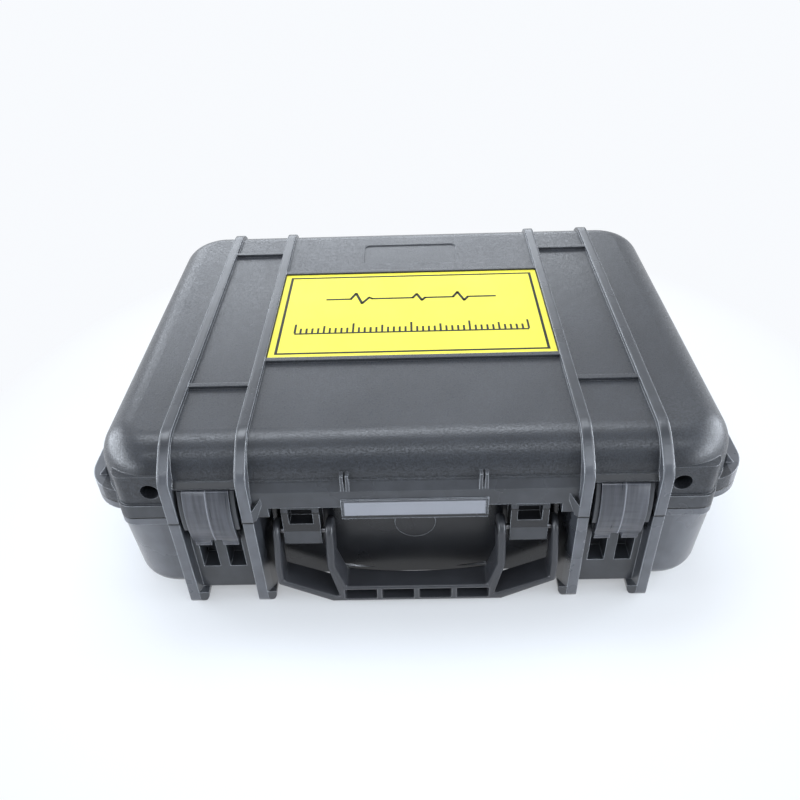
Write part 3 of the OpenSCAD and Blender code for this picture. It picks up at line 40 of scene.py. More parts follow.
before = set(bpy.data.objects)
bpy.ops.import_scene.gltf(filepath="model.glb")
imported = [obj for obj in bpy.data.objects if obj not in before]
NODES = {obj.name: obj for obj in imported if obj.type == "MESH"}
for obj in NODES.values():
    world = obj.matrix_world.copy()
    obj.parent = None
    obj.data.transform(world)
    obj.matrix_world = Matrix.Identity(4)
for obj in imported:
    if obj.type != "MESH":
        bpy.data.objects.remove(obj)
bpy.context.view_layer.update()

SHELLS = ("base_shell", "lid_shell")
PINS = ("hinge_pins", "latch_pins", "latch_claw_pin_left", "latch_claw_pin_right",
        "board_screws", "battery_door_screws", "housing_screws", "knob_shaft")
KEYS = ("key_power", "key_menu", "key_gain", "key_range", "key_gate", "key_freeze")


# Sizes of the two shells that their boxes don't give, in metres

FIN_REACH = 0.008
FIN_RUN = 0.02
BAY_DEPTH = 0.014
RIM_REACH = 0.0125
RIB_FROM_LATCH = 0.02425
RIB_HALF_W = 0.0035
RECESS_HALF_H = 0.0075
RECESS_RISE = 0.0025
PARTING_GAP = 0.0004


# How far past a wall or a rib its finish changes, in metres

PARTING_SKIN = 0.0003
RIB_SKIN = 0.0002
RECESS_SKIN = 0.00015
WALL_SKIN = 0.0005
FRONT_SKIN = 0.0006
RIM_SKIN = 0.0012
BAY_SKIN = 0.001
SIDE_SKIN = 0.0015


# Places on the shells that their finish follows, in metres from the middle of the case

BASE_LOW, BASE_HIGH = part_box("base_shell")
LATCH_LOW, LATCH_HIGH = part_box("latch_lever_left")
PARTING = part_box("lid_seal")[0].z
FIN_FRONT = -BASE_LOW.y
FRONT_WALL = FIN_FRONT - FIN_REACH
BAY_WALL = FRONT_WALL - BAY_DEPTH
SIDE_WALL = BASE_HIGH.x - RIM_REACH
LATCH_X = abs(LATCH_LOW.x + LATCH_HIGH.x) / 2
INNER_RIB_X = LATCH_X - RIB_FROM_LATCH
OUTER_RIB_X = LATCH_X + RIB_FROM_LATCH


# Values of a noise between which a finish changes

CLOUDY = (0.35, 0.7)
GRAINY = (0.4, 0.62)
BROAD = (0.3, 0.75)
EVEN = (0.3, 0.7)


# Colours that several finishes share

# Pale grey painted on edges as a highlight
HIGHLIGHT_GREY = (0.5, 0.52, 0.55)
# Near black painted along the parting as the shade in its gap
GAP_SHADE_BLACK = (0.002, 0.002, 0.002)
SHADE_BLACK = (0.004, 0.004, 0.005)


# Small sizes of the new pieces, in metres

LATCH_EDGE = 0.0006
CLAW_EDGE = 0.0005
PLATE_EDGE = 0.0002
STRIP_EDGE = 0.00015
STRIP_CORNER = 0.0008
INK_THICK = 0.0002
MERGE_GAP = 0.00001


# Bends up to which faces count as one flat, and from which an edge is rounded

FLAT_BEND = math.radians(1)
SHARP_BEND = math.radians(35)


# The echo line's points: a share of half its length, and a height in metres

ECHO_POINTS = ((-1, 0), (-0.72, 0), (-0.66, 0.009), (-0.58, -0.007), (-0.5, 0.002), (-0.46, 0),
               (0.02, 0), (0.07, 0.006), (0.13, -0.004), (0.17, 0),
               (0.5, 0), (0.56, 0.0075), (0.63, -0.0055), (0.68, 0), (1, 0))


# Each lamp's name, place, target, width and depth in metres, and power in watts

LAMPS = (("top_softbox", (-0.15, 0.5, 1.7), (0, 0.05, 0.1), 1.6, 0.6, 26),
         ("back_softbox", (-0.35, 1.6, 0.72), (0, 0, 0.1), 1.9, 0.7, 15),
         ("front_strip", (0.1, -1.15, 1.5), (0, -0.1, 0.08), 2.0, 0.45, 13),
         ("left_softbox", (-1.5, 0.0, 0.5), (0, -0.1, 0.06), 1.5, 0.9, 34),
         ("right_softbox", (1.5, 0.0, 0.5), (0, -0.1, 0.06), 1.5, 0.9, 34),
         ("left_low_softbox", (-1.2, -0.85, 0.32), (0, -0.1, 0.05), 0.9, 0.5, 9),
         ("right_low_softbox", (1.2, -0.85, 0.32), (0, -0.1, 0.05), 0.9, 0.5, 13))
LAMP_COLOUR = (0.86, 0.92, 1.0)


# Sizes and colours that a user would change

class CaseFinish(bpy.types.PropertyGroup):
    """Colours, rounding and grain of the case, its latches and its handle"""
    shell_colour: bpy.props.FloatVectorProperty(
        name="Shell colour", description="Colour of the moulded shells", subtype="COLOR",
        size=3, min=0, max=1, default=(0.025, 0.027, 0.031))
    rib_colour: bpy.props.FloatVectorProperty(
        name="Rib colour", description="Colour of the smooth ribs and rims", subtype="COLOR",
        size=3, min=0, max=1, default=(0.025, 0.027, 0.031))
    # A lighter copy of the shell's plastic, painted on the open fins, rims and sides as painted light
    lit_front_colour: bpy.props.FloatVectorProperty(
        name="Front colour", description="Colour of the smooth front, rim and base", subtype="COLOR",
        size=3, min=0, max=1, default=(0.07, 0.073, 0.081))
    latch_colour: bpy.props.FloatVectorProperty(
        name="Latch colour", description="Colour of the latches", subtype="COLOR",
        size=3, min=0, max=1, default=(0.046, 0.048, 0.056))
    handle_colour: bpy.props.FloatVectorProperty(
        name="Handle colour", description="Colour of the handle", subtype="COLOR",
        size=3, min=0, max=1, default=(0.026, 0.027, 0.031))
    rib_round: bpy.props.FloatProperty(
        name="Rib rounding", description="Rounding of the ribs and fins in the shading",
        subtype="DISTANCE", min=0.0005, max=0.004, default=0.003)
    handle_round: bpy.props.FloatProperty(
        name="Handle rounding", description="Radius of the handle's edges", subtype="DISTANCE",
        min=0.0002, max=0.005, default=0.0021)
    grain_size: bpy.props.FloatProperty(
        name="Grain size", description="Size of the sand texture's grains", subtype="DISTANCE",
        min=0.0002, max=0.002, default=0.0012)
    grain_depth: bpy.props.FloatProperty(
        name="Grain depth", description="Depth of the sand texture", subtype="DISTANCE",
        min=0.00002, max=0.0005, default=0.00011)
    edge_radius: bpy.props.FloatProperty(
        name="Edge radius", description="Rounding of the moulded edges in the shading",
        subtype="DISTANCE", min=0.0001, max=0.002, default=0.0012)


class PlateLook(bpy.types.PropertyGroup):
    """Colours and lines of the plate and the strip"""
    plate_colour: bpy.props.FloatVectorProperty(
        name="Plate colour", description="Colour of the yellow plate", subtype="COLOR",
        size=3, min=0, max=1, default=(0.7, 0.62, 0.036))
    ink_colour: bpy.props.FloatVectorProperty(
        name="Ink colour", description="Colour of the plate's lines", subtype="COLOR",
        size=3, min=0, max=1, default=(0.022, 0.025, 0.022))
    strip_colour: bpy.props.FloatVectorProperty(
        name="Strip colour", description="Colour of the name strip", subtype="COLOR",
        size=3, min=0, max=1, default=(0.21, 0.215, 0.235))
    corner_radius: bpy.props.FloatProperty(
        name="Corner radius", description="Corner radius of the plate", subtype="DISTANCE",
        min=0.0002, max=0.005, default=0.0012)
    line_inset: bpy.props.FloatProperty(
        name="Line inset", description="Distance of the border line from the plate's edge",
        subtype="DISTANCE", min=0.001, max=0.015, default=0.0046)
    line_width: bpy.props.FloatProperty(
        name="Line width", description="Width of the border line", subtype="DISTANCE",
        min=0.0003, max=0.003, default=0.002)


class KitLook(bpy.types.PropertyGroup):
    """Colours of the foam and the instrument in the case"""
    foam_colour: bpy.props.FloatVectorProperty(
        name="Foam colour", description="Colour of the foam", subtype="COLOR",
        size=3, min=0, max=1, default=(0.035, 0.036, 0.04))
    foam_edge: bpy.props.FloatProperty(
        name="Foam edge", description="Rounding of the foam's cut edges", subtype="DISTANCE",
        min=0.0002, max=0.004, default=0.0016)
    housing_colour: bpy.props.FloatVectorProperty(
        name="Housing colour", description="Colour of the instrument's front", subtype="COLOR",
        size=3, min=0, max=1, default=(0.045, 0.1, 0.19))
    back_colour: bpy.props.FloatVectorProperty(
        name="Back colour", description="Colour of the instrument's back", subtype="COLOR",
        size=3, min=0, max=1, default=(0.3, 0.31, 0.32))
    key_colour: bpy.props.FloatVectorProperty(
        name="Key colour", description="Colour of the keys", subtype="COLOR",
        size=3, min=0, max=1, default=(0.36, 0.37, 0.39))
    power_colour: bpy.props.FloatVectorProperty(
        name="Power key colour", description="Colour of the power key", subtype="COLOR",
        size=3, min=0, max=1, default=(0.45, 0.035, 0.03))


class StageLook(bpy.types.PropertyGroup):
    """The floor and the camera"""
    floor_size: bpy.props.FloatProperty(
        name="Floor size", description="Side of the floor", subtype="DISTANCE",
        min=2, max=40, default=12)
    floor_colour: bpy.props.FloatVectorProperty(
        name="Floor colour", description="Colour of the floor", subtype="COLOR",
        size=3, min=0, max=1, default=(0.66, 0.68, 0.7))
    camera_place: bpy.props.FloatVectorProperty(
        name="Camera place", description="Where the camera stands", subtype="TRANSLATION",
        size=3, default=(0.00245, -0.5148, 0.4475))
    camera_pitch: bpy.props.FloatProperty(
        name="Camera pitch", description="How far the camera looks down", subtype="ANGLE",
        default=math.radians(37.57))
    camera_yaw: bpy.props.FloatProperty(
        name="Camera yaw", description="How far the camera turns to the left", subtype="ANGLE",
        default=math.radians(1.52))
    camera_roll: bpy.props.FloatProperty(
        name="Camera roll", description="How far the camera tilts", subtype="ANGLE",
        default=math.radians(-2.16))
    camera_lens: bpy.props.FloatProperty(
        name="Camera lens", description="Focal length on a 36 mm sensor, in millimetres",
        min=10, max=200, default=34.67)


# Node helpers for the finishes

class Nodes:
    """A tree whose nodes are added one after the other."""

    MIX_SOCKETS = {"FLOAT": (2, 3, 0), "VECTOR": (4, 5, 1), "RGBA": (6, 7, 2)}

    def __init__(self, tree):
        self.tree = tree

    def add(self, kind, **settings):
        made = self.tree.nodes.new("ShaderNode" + kind)
        for key, value in settings.items():
            setattr(made, key, value)
        return made

    def link(self, output, target):
        self.tree.links.new(output, target)

    def fill(self, target, value):
        """Links an output to a socket, or sets the socket to a number or a colour."""
        if isinstance(value, bpy.types.NodeSocket):
            self.link(value, target)
        elif isinstance(value, (int, float)):
            target.default_value = value
        else:
            target.default_value = (*value[:3], 1)

    def math(self, operation, *values, clamp=False):
        made = self.add("Math", operation=operation, use_clamp=clamp)
        for target, value in zip(made.inputs, values):
            self.fill(target, value)
        return made.outputs[0]

    def largest(self, first, *others):
        for other in others:
            first = self.math("MAXIMUM", first, other)
        return first

    def product(self, first, *others):
        for other in others:
            first = self.math("MULTIPLY", first, other)
        return first

    def spread(self, value, low, high, to_low=0.0, to_high=1.0):
        """Goes from to_low to to_high as the value goes from low to high, and stays there past them."""
        made = self.add("MapRange")
        self.link(value, made.inputs["Value"])
        for key, number in (("From Min", low), ("From Max", high), ("To Min", to_low), ("To Max", to_high)):
            made.inputs[key].default_value = number
        return made.outputs["Result"]

    def blend(self, share, a, b, kind="RGBA"):
        """Goes from a to b as the share goes from 0 to 1."""
        made = self.add("Mix", data_type=kind)
        first, second, result = self.MIX_SOCKETS[kind]
        for i, value in ((0, share), (first, a), (second, b)):
            self.fill(made.inputs[i], value)
        return made.outputs[result]

    def parts(self, vector):
        """The three numbers of a vector."""
        made = self.add("SeparateXYZ")
        self.link(vector, made.inputs[0])
        return tuple(made.outputs)


class Finish(Nodes):
    """A material that starts from one shader."""

    def __init__(self, name, colour, roughness, gloss=0.5):
        self.material = bpy.data.materials.new(name)
        self.material.use_nodes = True
        self.material.diffuse_color = (*colour, 1)
        super().__init__(self.material.node_tree)
        self.shader = self.tree.nodes["Principled BSDF"]
        self.shader.inputs["Base Color"].default_value = (*colour, 1)
        self.shader.inputs["Roughness"].default_value = roughness
        self.shader.inputs["Specular IOR Level"].default_value = gloss

    def place(self):
        return self.add("TexCoord").outputs["Object"]

    def noise(self, size, detail=2.0, stretch=None):
        coords = self.place()
        if stretch:
            mapping = self.add("Mapping")
            mapping.inputs["Scale"].default_value = stretch
            self.link(coords, mapping.inputs["Vector"])
            coords = mapping.outputs["Vector"]
        tex = self.add("TexNoise")
        tex.inputs["Scale"].default_value = 1 / size
        tex.inputs["Detail"].default_value = detail
        self.link(coords, tex.inputs["Vector"])
        return tex.outputs["Fac"]

    def colour(self, output):
        self.link(output, self.shader.inputs["Base Color"])

    def roughness(self, output):
        self.link(output, self.shader.inputs["Roughness"])

    def rounded(self, radius, samples=6):
        """The surface's normal with its edges rounded."""
        bevel = self.add("Bevel", samples=samples)
        bevel.inputs["Radius"].default_value = radius
        return bevel.outputs[0]

    def highlight_edges(self, radius, flat=0.985):
        """A share for painted edge highlights that rises from 0 on flat faces to 1 on edges, and one for
        edges that turn sideways.
        """
        sharp, hollow, proud = 0.8, 0.49, 0.51
        straight, turned = 0.1, 0.35
        normal = self.rounded(radius)
        surface = self.add("NewGeometry")
        dot = self.add("VectorMath", operation="DOT_PRODUCT")
        self.link(normal, dot.inputs[0])
        self.link(surface.outputs["Normal"], dot.inputs[1])
        bent = self.spread(dot.outputs["Value"], flat, sharp)
        outward = self.spread(surface.outputs["Pointiness"], hollow, proud, 0.6, 1.0)
        sideways = self.spread(self.math("ABSOLUTE", self.parts(normal)[0]), straight, turned)
        return self.math("MULTIPLY", bent, outward, clamp=True), sideways

    def relief(self, height, depth, edge=0.0, strength=1.0, normal=None, shader=None):
        """Bumps of a depth on the shader, over rounded edges or a given normal."""
        bump = self.add("Bump")
        bump.inputs["Distance"].default_value = depth
        bump.inputs["Strength"].default_value = strength
        self.link(height, bump.inputs["Height"])
        if edge:
            normal = self.rounded(edge)
        if normal is not None:
            self.link(normal, bump.inputs["Normal"])
        self.link(bump.outputs[0], (shader or self.shader).inputs["Normal"])

    def mixed_normal(self, share, normal_a, normal_b):
        even = self.add("VectorMath", operation="NORMALIZE")
        self.link(self.blend(share, normal_a, normal_b, "VECTOR"), even.inputs[0])
        return even.outputs[0]

    def cover(self, share, shader):
        """Shows another shader in place of the first by a share."""
        mix = self.add("MixShader")
        self.link(share, mix.inputs[0])
        self.link(self.shader.outputs[0], mix.inputs[1])
        self.link(shader.outputs[0], mix.inputs[2])
        self.link(mix.outputs[0], self.tree.nodes["Material Output"].inputs["Surface"])


def brighter(colour, factor):
    """A colour times a factor, no more than white."""
    return tuple(min(1.0, c * factor) for c in colour)


class ShellZones:
    """Shares, most of them 0 or 1, that say where on the two shells a point lies."""

    def __init__(self, f):
        signed_x, signed_y, z = f.parts(f.place())
        x = f.math("ABSOLUTE", signed_x)
        y = f.math("ABSOLUTE", signed_y)
        self.front = f.math("GREATER_THAN", y, FRONT_WALL + FRONT_SKIN)
        self.rim = f.math("GREATER_THAN", x, SIDE_WALL + RIM_SKIN)
        self.below = f.math("LESS_THAN", z, PARTING - WALL_SKIN)
        # Painted shade: a near-black band along the parting between lid and base
        self.parting = f.math("COMPARE", z, PARTING + PARTING_GAP / 2, PARTING_GAP / 2 + PARTING_SKIN)

        on_ribs = f.largest(f.math("COMPARE", x, INNER_RIB_X, RIB_HALF_W + RIB_SKIN),
                            f.math("COMPARE", x, OUTER_RIB_X, RIB_HALF_W + RIB_SKIN))
        rib_reach = f.largest(f.math("GREATER_THAN", z, PARTING - WALL_SKIN),
                              f.math("GREATER_THAN", y, BAY_WALL + WALL_SKIN))
        self.ribs = f.product(on_ribs, rib_reach)
        # On the ribs, a share that rises towards the front and is full below the parting; it carries
        # painted light onto the fins
        self.fins = f.product(self.ribs, f.largest(f.spread(y, FIN_FRONT - FIN_RUN, FIN_FRONT), self.below))
        self.smooth = f.largest(self.ribs, self.front, self.rim, self.below)

        recess_half_w = RIB_FROM_LATCH - RIB_HALF_W - RECESS_SKIN
        self.recess = f.product(f.math("COMPARE", x, LATCH_X, recess_half_w),
                                f.math("COMPARE", z, LATCH_HIGH.z + RECESS_RISE, RECESS_HALF_H), self.front)
        past_ribs = f.math("GREATER_THAN", x, OUTER_RIB_X + RIB_HALF_W + SIDE_SKIN)
        self.sides = f.product(self.below, past_ribs)
        between_ribs = f.math("LESS_THAN", x, INNER_RIB_X - RIB_HALF_W - BAY_SKIN)
        self.bay = f.product(between_ribs, f.math("LESS_THAN", y, FRONT_WALL + FRONT_SKIN), self.below,
                             f.math("LESS_THAN", signed_y, 0.0))


def moulded_shell(look):
    """Sandy moulded plastic, smooth on the ribs, the rims, the base and the front's raised parts, with
    painted edge highlights, a lighter painted-light copy on open faces and painted shade.
    """
    patch_size, cloud_size = 0.05, 0.012
    f = Finish("moulded_shell", look.shell_colour, 0.5, 0.4)
    zones = ShellZones(f)
    grain = f.noise(look.grain_size, 3.0)
    patches = f.noise(patch_size, 4.0)
    edges, sideways = f.highlight_edges(look.edge_radius * 0.7)

    body = f.blend(f.spread(patches, *CLOUDY), look.shell_colour, brighter(look.shell_colour, 1.25))
    sand = f.blend(f.spread(grain, *GRAINY), brighter(look.shell_colour, 0.45),
                   brighter(look.shell_colour, 1.7))
    sand = f.blend(0.65, body, sand)
    # Painted highlight: the sandy shader's edges lighten towards pale grey
    highlit = f.blend(f.product(edges, 0.2), sand, HIGHLIGHT_GREY)
    # Painted shade in the parting gap
    f.colour(f.blend(zones.parting, highlit, GAP_SHADE_BLACK))
    rough = f.spread(patches, *BROAD, 0.27, 0.35)
    f.roughness(f.math("ADD", rough, f.spread(grain, *GRAINY, 0.12, -0.05)))
    f.relief(grain, look.grain_depth, look.edge_radius, 0.9)

    rib = f.add("BsdfPrincipled")
    rib.inputs["Specular IOR Level"].default_value = 0.5
    cloud = f.spread(f.noise(cloud_size, 4.0), *CLOUDY)
    # Painted light: the open fins, rims and sides, and a little of the front, get a lighter copy of the
    # colour
    lit_faces = f.largest(zones.fins, zones.rim, zones.sides, f.product(zones.front, 0.06))
    tone = f.blend(cloud, look.rib_colour, brighter(look.rib_colour, 1.4))
    tone = f.blend(lit_faces, tone, f.blend(cloud, look.lit_front_colour, brighter(look.lit_front_colour, 1.3)))
    shade = f.largest(f.product(zones.recess, 0.8), f.product(zones.bay, 0.75))
    tone = f.blend(shade, tone, SHADE_BLACK)
    along = f.largest(sideways, f.math("SUBTRACT", 1.0, zones.ribs))
    # Painted highlight on the smooth shader's edges, on the ribs only on edges that turn sideways
    light = f.blend(f.product(edges, along, 0.75), tone, HIGHLIGHT_GREY)
    # Painted shade in the parting gap, as on the sandy shader
    f.link(f.blend(zones.parting, light, GAP_SHADE_BLACK), rib.inputs["Base Color"])
    f.link(f.spread(patches, *BROAD, 0.24, 0.34), rib.inputs["Roughness"])
    normal = f.mixed_normal(zones.ribs, f.rounded(look.edge_radius), f.rounded(look.rib_round, 8))
    f.relief(grain, look.grain_depth * 0.1, normal=normal, shader=rib)
    f.cover(zones.smooth, rib)
    return f.material


def smooth_moulding(name, colour, edge=0.0, roughness=0.38, highlight_share=0.16, highlight_radius=0.0009,
                    sideways_above=1.0):
    """Satin moulded plastic with flow marks, and painted highlights on its edges, which above a height go
    only on edges that turn sideways.
    """
    flow_size, grain_size, grain_depth = 0.018, 0.0012, 0.00003
    f = Finish(name, colour, roughness)
    flow = f.noise(flow_size, 4.0, (1, 1, 0.35))
    base = f.blend(f.spread(flow, *CLOUDY), colour, brighter(colour, 1.3))
    edges, sideways = f.highlight_edges(highlight_radius, 0.97)
    low = f.math("LESS_THAN", f.parts(f.place())[2], sideways_above)
    # Painted highlight: edges lighten towards a paler copy of the colour
    highlit = f.product(edges, highlight_share, f.largest(sideways, low))
    f.colour(f.blend(highlit, base, tuple(0.4 + 0.6 * c for c in colour)))
    f.roughness(f.spread(flow, *BROAD, roughness - 0.05, roughness + 0.08))
    f.relief(f.noise(grain_size), grain_depth, edge)
    return f.material


def streaked_moulding(look):
    """Dark plastic of the latch covers, with drawn streaks, and painted highlights on its edges and on the
    seam down the middle.
    """
    streak_size, streak_depth, cloud_size = 0.0022, 0.00002, 0.02
    seam_half_w, edge_radius = 0.0003, 0.0011
    f = Finish("latch_moulding", look.latch_colour, 0.34)
    dull = brighter(look.latch_colour, 0.7)
    streaks = f.noise(streak_size, 4.0, (1, 0.08, 0.05))
    base = f.blend(f.spread(streaks, 0.35, 0.65), dull, brighter(look.latch_colour, 1.45))
    base = f.blend(f.spread(f.noise(cloud_size, 3.0), *EVEN, 0.0, 0.5), base, dull)
    seam = f.math("COMPARE", f.math("ABSOLUTE", f.parts(f.place())[0]), LATCH_X, seam_half_w)
    # Painted highlight on the edges and on the middle seam
    light = f.largest(f.product(f.highlight_edges(edge_radius)[0], 0.34), f.product(seam, 0.3))
    f.colour(f.blend(light, base, (0.45, 0.46, 0.5)))
    f.roughness(f.spread(streaks, *EVEN, 0.27, 0.4))
    f.relief(streaks, streak_depth)
    return f.material


def plain_metal(name, colour, roughness=0.3):
    """Turned metal with fine lines."""
    line_size, line_depth, edge = 0.0006, 0.00001, 0.0002
    f = Finish(name, colour, roughness)
    f.shader.inputs["Metallic"].default_value = 1.0
    lines = f.noise(line_size, 3.0, (0.1, 1, 1))
    f.roughness(f.spread(lines, *EVEN, roughness - 0.06, roughness + 0.12))
    f.relief(lines, line_depth, edge)
    return f.material


def soft_rubber(name, colour):
    """Matt rubber."""
    patch_size, grain_size, grain_depth, edge = 0.02, 0.0006, 0.00004, 0.0004
    f = Finish(name, colour, 0.7)
    f.colour(f.blend(f.spread(f.noise(patch_size, 3.0), *EVEN), colour, brighter(colour, 1.4)))
    f.relief(f.noise(grain_size, 3.0), grain_depth, edge)
    return f.material


def printed_film(name, colour, roughness=0.3, gloss=0.5):
    """Satin film, or print on it."""
    cloud_size, grain_size, grain_depth = 0.04, 0.0008, 0.00001
    f = Finish(name, colour, roughness, gloss)
    cloud = f.noise(cloud_size, 3.0)
    f.colour(f.blend(f.spread(cloud, *EVEN), brighter(colour, 0.97), brighter(colour, 1.03)))
    f.roughness(f.spread(cloud, *EVEN, roughness, roughness + 0.08))
    f.relief(f.noise(grain_size), grain_depth)
    return f.material


def cut_foam(colour):
    """Fine open-cell foam."""
    cells_per_metre, cell_depth = 900, 0.0006
    f = Finish("cut_foam", colour, 0.95)
    f.shader.inputs["Sheen Weight"].default_value = 0.15
    cells = f.add("TexVoronoi")
    cells.inputs["Scale"].default_value = cells_per_metre
    f.link(f.place(), cells.inputs["Vector"])
    cell = cells.outputs["Distance"]
    f.colour(f.blend(f.spread(cell, 0.1, 0.7), brighter(colour, 0.5), brighter(colour, 1.5)))
    f.relief(cell, cell_depth)
    return f.material


def clear_glass(name, colour):
    """Window glass with slightly rounded edges."""
    edge = 0.0003
    f = Finish(name, colour, 0.05)
    f.shader.inputs["Transmission Weight"].default_value = 1.0
    f.shader.inputs["IOR"].default_value = 1.45
    f.link(f.rounded(edge), f.shader.inputs["Normal"])
    return f.material


# Mesh helpers

def finish_piece(name, bm, material, body, node=None):
    """Turns a bmesh into a piece that rides on a body."""
    bmesh.ops.recalc_face_normals(bm, faces=bm.faces)
    mesh = bpy.data.meshes.new(name)
    bm.to_mesh(mesh)
    bm.free()
    mesh.materials.append(material)
    piece = bpy.data.objects.new(name, mesh)
    bpy.context.scene.collection.objects.link(piece)
    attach(piece, body)
    if node:
        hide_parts(node)
    return piece


def softened(node, name, material, body, width, segments=2, weigh=None):
    """Replaces a CAD node by a copy of it with rounded edges, which weigh(edge) can make less round."""
    bm = bmesh.new()
    bm.from_mesh(NODES[node].data)
    bmesh.ops.transform(bm, matrix=NODES[node].matrix_world, verts=bm.verts)
    bmesh.ops.remove_doubles(bm, verts=bm.verts, dist=MERGE_GAP)
    bmesh.ops.dissolve_limit(bm, angle_limit=FLAT_BEND, verts=bm.verts, edges=bm.edges)
    if weigh:
        weight = bm.edges.layers.float.new("bevel_weight_edge")
        for edge in bm.edges:
            if edge.calc_face_angle(0) > SHARP_BEND:
                edge[weight] = weigh(edge)
    piece = finish_piece(name, bm, material, body, node)
    for polygon in piece.data.polygons:
        polygon.use_smooth = True
    rounding = piece.modifiers.new("rounding", "BEVEL")
    rounding.width = width
    rounding.segments = segments
    rounding.limit_method = "WEIGHT" if weigh else "ANGLE"
    rounding.angle_limit = SHARP_BEND
    rounding.harden_normals = True
    rounding.use_clamp_overlap = weigh is None
    return piece


def coat(material, *nodes):
    """Gives CAD nodes their finish."""
    for node in nodes:
        mesh = NODES[node].data
        mesh.materials.clear()
        mesh.materials.append(material)


def rounded_box(bm, low, high, radius, edge):
    """A box with round upright corners and softened rims, in an empty bmesh."""
    low, high = Vector(low), Vector(high)
    bmesh.ops.create_cube(bm, size=1, matrix=Matrix.LocRotScale((low + high) / 2, None, high - low))
    upright = [e for e in bm.edges if abs(e.verts[0].co.z - e.verts[1].co.z) > (high.z - low.z) / 2]
    bmesh.ops.bevel(bm, geom=upright, offset=radius, offset_type="OFFSET", affect="EDGES",
                    segments=5, profile=0.5, material=-1)
    rims = [e for e in bm.edges if e.calc_face_angle(0) > SHARP_BEND]
    bmesh.ops.bevel(bm, geom=rims, offset=edge, offset_type="OFFSET", affect="EDGES",
                    segments=2, profile=0.5, material=-1)


def stroke(bm, a, b, width, top):
    """A printed line from a to b, most of which stands on a surface at the height top."""
    run = Vector((b[0] - a[0], b[1] - a[1], 0))
    spot = Vector(((a[0] + b[0]) / 2, (a[1] + b[1]) / 2, top + INK_THICK / 4))
    turn = Matrix.Rotation(math.atan2(run.y, run.x), 4, "Z").to_quaternion()
    size = Vector((run.length, width, INK_THICK))
    bmesh.ops.create_cube(bm, size=1, matrix=Matrix.LocRotScale(spot, turn, size))


def outline(bm, low, high, width, top):
    """Four printed lines round a rectangle, whose outer corners are low and high."""
    half = width / 2
    for y in (low.y + half, high.y - half):
        stroke(bm, (low.x, y), (high.x, y), width, top)
    for x in (low.x + half, high.x - half):
        stroke(bm, (x, low.y + width), (x, high.y - width), width, top)


# Operators, one for each piece or group of pieces

class CASE_OT_shells(bpy.types.Operator):
    """Finish the base and the lid"""
    bl_idname = "case.shells"
    bl_label = "Shells"

    def execute(self, context):
        look = context.scene.case_finish
        shell = moulded_shell(look)
        coat(shell, *SHELLS)
        coat(soft_rubber("seal_rubber", (0.02, 0.02, 0.021)), "lid_seal")
        coat(plain_metal("pin_metal", (0.55, 0.56, 0.58)), *PINS)
        coat(plain_metal("dark_pin_metal", (0.2, 0.2, 0.21), 0.35), "handle_pins")
        return {"FINISHED"}


class CASE_OT_latches(bpy.types.Operator):
    """Finish the latches and the handle"""
    bl_idname = "case.latches"
    bl_label = "Latches and handle"

    def execute(self, context):
        look = context.scene.case_finish
        latch = streaked_moulding(look)
        claw = smooth_moulding("claw_moulding", look.shell_colour)
        for side in ("left", "right"):
            softened("latch_lever_" + side, "latch_cover_" + side, latch, "latch_" + side,
                     LATCH_EDGE)
            softened("latch_claw_" + side, "claw_frame_" + side, claw, "claw_" + side,
                     CLAW_EDGE)
        # The handle's edges get a stronger painted highlight
        handle = smooth_moulding("handle_moulding", look.handle_colour, roughness=0.36, highlight_share=0.3,
                                 highlight_radius=look.handle_round, sideways_above=0.045)
        softened("handle", "handle_moulding", handle, "handle", look.handle_round, 4,
                 self.handle_roundness)
        return {"FINISHED"}

    def handle_roundness(self, edge):
        """Full on the arms' tops, small on the grip's pockets, none on the pins' bores."""
        low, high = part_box("handle")
        pin_low, pin_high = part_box("handle_pins")
        bore_gap, arm_top_h, grip_half_w, grip_floor_h, grip_h = 0.0004, 0.011, 0.064, 0.001, 0.0125
        if all(pin_low.z - bore_gap < v.co.z < pin_high.z + bore_gap
               and pin_low.y - bore_gap < v.co.y < pin_high.y + bore_gap for v in edge.verts):
            return 0.0
        heights = [v.co.z for v in edge.verts]
        reach = max(abs(v.co.x) for v in edge.verts)
        if min(heights) > high.z - arm_top_h:
            return 1.0
        if reach < grip_half_w and min(heights) > low.z + grip_floor_h and max(heights) < low.z + grip_h:
            return 0.2
        return 0.85


